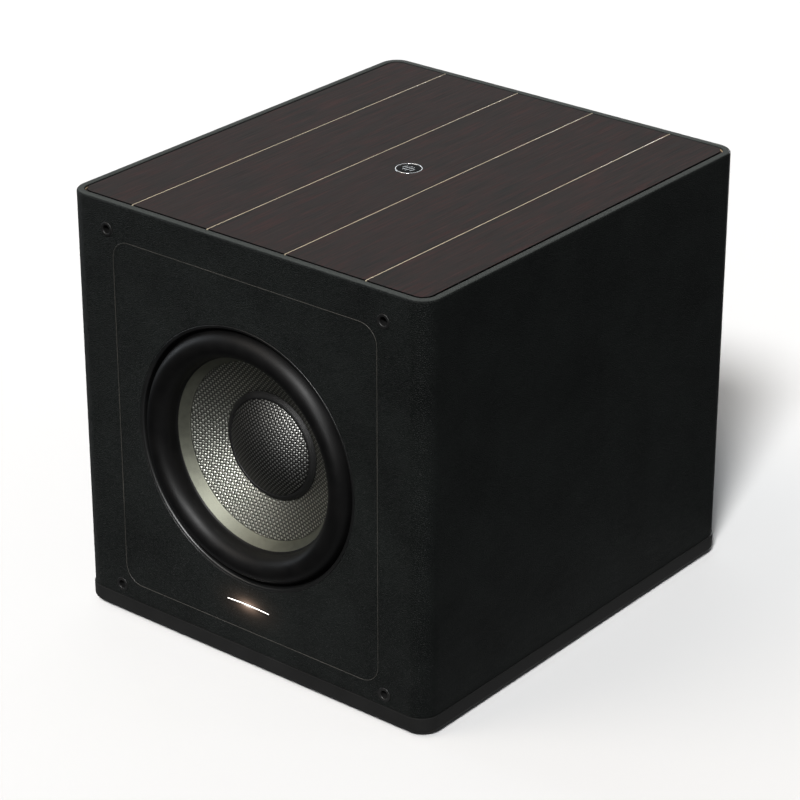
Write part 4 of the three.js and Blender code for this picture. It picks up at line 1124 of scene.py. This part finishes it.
def panel_print():
    """Ticks, plain signs and three dividing lines.

    A wedge stands for level, a falling curve for the filter, a crossed circle for phase, an arrow for input.
    """
    marks = dial_marks("volume_knob") + dial_marks("crossover_knob") + dial_marks("phase_knob")
    marks += sign("volume_knob", 21, [(-6, -1.4), (6, 1.4)], [(6, 1.4), (6, -1.4)], [(6, -1.4), (-6, -1.4)])
    curve = [(-6, 1.3), (-1, 1.3), (1, 0.9), (2.6, 0), (4.4, -1.2), (6, -2.4)]
    marks += sign("crossover_knob", 21, curve)
    ring = arc((0, 0), (2.2, 2.2), 0, 360, 24)
    marks += sign("phase_knob", 21, ring, [(-3.0, -2.4), (3.0, 2.4)], width=0.36)
    marks += sign("balanced_input", 20.5, [(-3, 0), (3, 0)], [(1.4, 1.3), (3, 0)], [(1.4, -1.3), (3, 0)])
    ends = ([(x, -0.9), (x, 0.9)] for x in (-3.5, 3.5))
    marks += sign("mode_slider", 6.5, [(-3.5, 0), (3.5, 0)], *ends)
    wide = (PLATE_HIGH.x - PLATE_LOW.x) / 2 / MM - 16
    for node, offset in (("volume_knob", 29), ("heatsink", 41), ("heatsink", -41)):
        at = at_plate(node) - Vector((centre(node).x, 0, offset * MM))
        marks.append(moved(ribbon([(-wide * MM, 0), (wide * MM, 0)], 0.4 * MM), at))
    new_piece("panel_print", joined(marks), "print", "anodised_black")


def control_knob(name, node):
    """A fluted knob with a skirt, a dished face and a white pointer, on its shaft."""
    at = at_plate(node)
    flutes, per_flute = 26, 6
    count = flutes * per_flute

    def ring(radius, y, depth=0.0):
        points = []
        for i in range(count):
            angle = 2 * math.pi * i / count
            r = (radius - depth * max(0.0, math.cos(flutes * angle)) ** 2) * MM
            points.append((at.x + r * math.cos(angle), at.y + y * MM, at.z + r * math.sin(angle)))
        return points

    skirt = [(2.9, -12), (2.9, 0.6), (10.6, 0.6), (10.95, 0.9), (10.95, 2.4), (10.5, 2.9)]
    grip = [(10.2, 3.4, 0.2), (10.1, 4.0, 0.55), (9.85, 12.2, 0.55), (9.6, 12.9, 0.4), (9.1, 13.5, 0.1)]
    face = [(8.5, 13.75), (8.0, 13.6), (7.4, 13.15), (5.0, 13.0), (1.2, 13.0)]
    knob = lofted([ring(*step) for step in skirt + grip + face])
    new_piece(name, knob, "plastic", "black_plastic", node, body=node, smooth_angle=40)
    on_face = block((-0.55, 12.6, 2.6), (0.55, 13.95, 9.0))
    on_side = block((-0.55, 3.4, 8.6), (0.55, 13.4, 10.25))
    pointer = joined([moved(softened(part, 0.15 * MM, 2), at) for part in (on_face, on_side)])
    new_piece(f"{name}_pointer", pointer, "print", "black_plastic", body=node)


def line_inputs():
    """Three phono sockets: a washer, a nut, a plated barrel and a coloured insert."""
    for i, look in ((1, "white"), (2, "red"), (3, "plastic")):
        node = f"input_jack_{i}"
        at = at_plate(node)
        barrel = [(3.25, -10), (4.15, -10), (4.15, 8.5), (3.95, 8.9), (3.55, 8.95), (3.25, 8.6)]
        washer = [(4.25, 0.32), (6.4, 0.32), (6.4, 0.75), (6.2, 0.85), (4.25, 0.85)]
        hexagon = circle(6.2 * MM, 6)
        nut = carved(plate_y(hexagon, 0.9 * MM, 2.3 * MM), plate_y(circle(4.25 * MM, 36), -1, 1))
        nut = moved(softened(nut, 0.2 * MM, 2), at)
        parts = [turned(barrel, at, "Y", 48), turned(washer, at, "Y", 48), nut]
        new_piece(f"phono_shell_{i}", joined(parts), "nickel", "chrome", node)
        insert = [(1.75, -8), (3.2, -8), (3.2, 7.5), (3.0, 7.9), (2.0, 7.9), (1.75, 7.6)]
        new_piece(f"phono_insert_{i}", turned(insert, at, "Y", 48), look, "black_plastic")


def balanced_socket():
    """The socket, its release latch and its two screws."""
    refined("balanced_socket", "balanced_input", "plastic", "black_plastic", 0.25)
    refined("release_latch", "balanced_input_latch", "nickel", "chrome", 0.25, "balanced_input_latch")
    middle = centre("balanced_input")
    blank = screw(1.5, 0.9)
    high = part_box("balanced_input")[1].y
    for i, (x, z) in enumerate(((-10.6, 12.6), (10.6, -12.6))):
        at = Vector((middle.x + x * MM, high, middle.z + z * MM))
        new_piece(f"socket_screw_{i + 1}", moved(blank, at), "steel", "chrome")


def mains_inlet():
    """The inlet's housing, its three blades and its fuse drawer."""
    refined("inlet_housing", "power_inlet", "plastic", "black_plastic", 0.3)
    refined("fuse_tray", "fuse_drawer", "plastic", "black_plastic", 0.2, "fuse_drawer")
    middle = centre("power_inlet")
    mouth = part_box("power_inlet")[1].y
    blades = []
    for x, z in ((-7, 7), (7, 7), (0, 11)):
        blade = softened(block((-1.0, -13.2, -2.0), (1.0, -3.0, 2.0)), 0.5 * MM)
        blades.append(moved(blade, Vector((middle.x + x * MM, mouth, middle.z + z * MM))))
    new_piece("inlet_blades", joined(blades), "nickel", "chrome")


def power_switch():
    """The switch, with the usual line and ring marked on its rocker."""
    refined("switch_bezel", "power_switch_bezel", "plastic", "black_plastic", 0.3)
    rocker = refined("switch_rocker", "power_rocker", "plastic", "black_plastic", 0.35, "power_rocker")
    points = [vertex.co for vertex in rocker.data.vertices]
    surface = BVHTree.FromPolygons(points, [face.vertices for face in rocker.data.polygons])
    middle = centre("power_rocker")
    line = block((-0.35, -0.1, -2.2), (0.35, 0.12, 2.2))
    ring = turned([(1.5, -0.1), (2.1, -0.1), (2.1, 0.12), (1.5, 0.12)], Vector((0, 0, 0)), "Y", 36)
    marks = []
    for mark, z in ((line, 5.4), (ring, -5.4)):
        start = Vector((middle.x, PLATE_HIGH.y + 0.05, middle.z + z * MM))
        spot, normal = surface.ray_cast(start, Vector((0, -1, 0)))[:2]
        lean = Vector((0, 1, 0)).rotation_difference(normal).to_matrix().to_4x4()
        marks.append(moved(mark, spot, lean))
    new_piece("switch_marks", joined(marks), "print", "black_plastic", body="power_rocker")


def mode_switch():
    """The slider, and the dark tray that shows through its slot."""
    refined("slider_button", "mode_slider", "plastic", "black_plastic", 0.15, "mode_slider")
    outer = block((-8.0, -10.5, -3.6), (8.0, -4.3, 3.6))
    inner = block((-7.2, -9.7, -2.8), (7.2, 1.0, 2.8))
    tray = moved(softened(carved(outer, inner), 0.15 * MM, 2), at_plate("mode_slider"))
    new_piece("slider_tray", tray, "plastic", "black_plastic")


# ---------------------------------------------------------------- assembly

add_camera()
add_stage()
leather_wrap()
seam_cord()
fascia()
light_bar()
wood_top()
badge()
plinth()
feet()
grille_sockets()
trim_ring()
surround()
cone()
dust_cap()
spider()
refined("amp_panel", "amp_plate", "anodised", "anodised_black", 0.5)
plate_screws()
panel_print()
for knob in ("volume", "crossover", "phase"):
    control_knob(f"{knob}_dial", f"{knob}_knob")
line_inputs()
balanced_socket()
mains_inlet()
power_switch()
mode_switch()
refined("heatsink_fins", "heatsink", "anodised", "anodised_black", 0.2)

KEPT = {
    "board": [
        "front_baffle", "rear_panel", "left_panel", "right_panel",
        "bottom_board", "top_board", "window_brace",
    ],
    "wadding": ["acoustic_lining"],
    "circuit": ["light_board", "amp_board"],
    "alloy": ["driver_basket"],
    "tube": ["coil_former"],
    "copper": ["voice_coil", "transformer"],
    "steel": ["front_plate", "yoke_and_pole"],
    "ferrite": ["magnet"],
    "plastic": ["terminal_strip", "speaker_cable"],
    "foam": ["amp_gasket"],
}
# The parts inside keep their CAD shapes and take a better material.
for look, names in KEPT.items():
    for name in names:
        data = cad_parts[name].data
        data.materials.clear()
        data.materials.append(LOOKS[look])
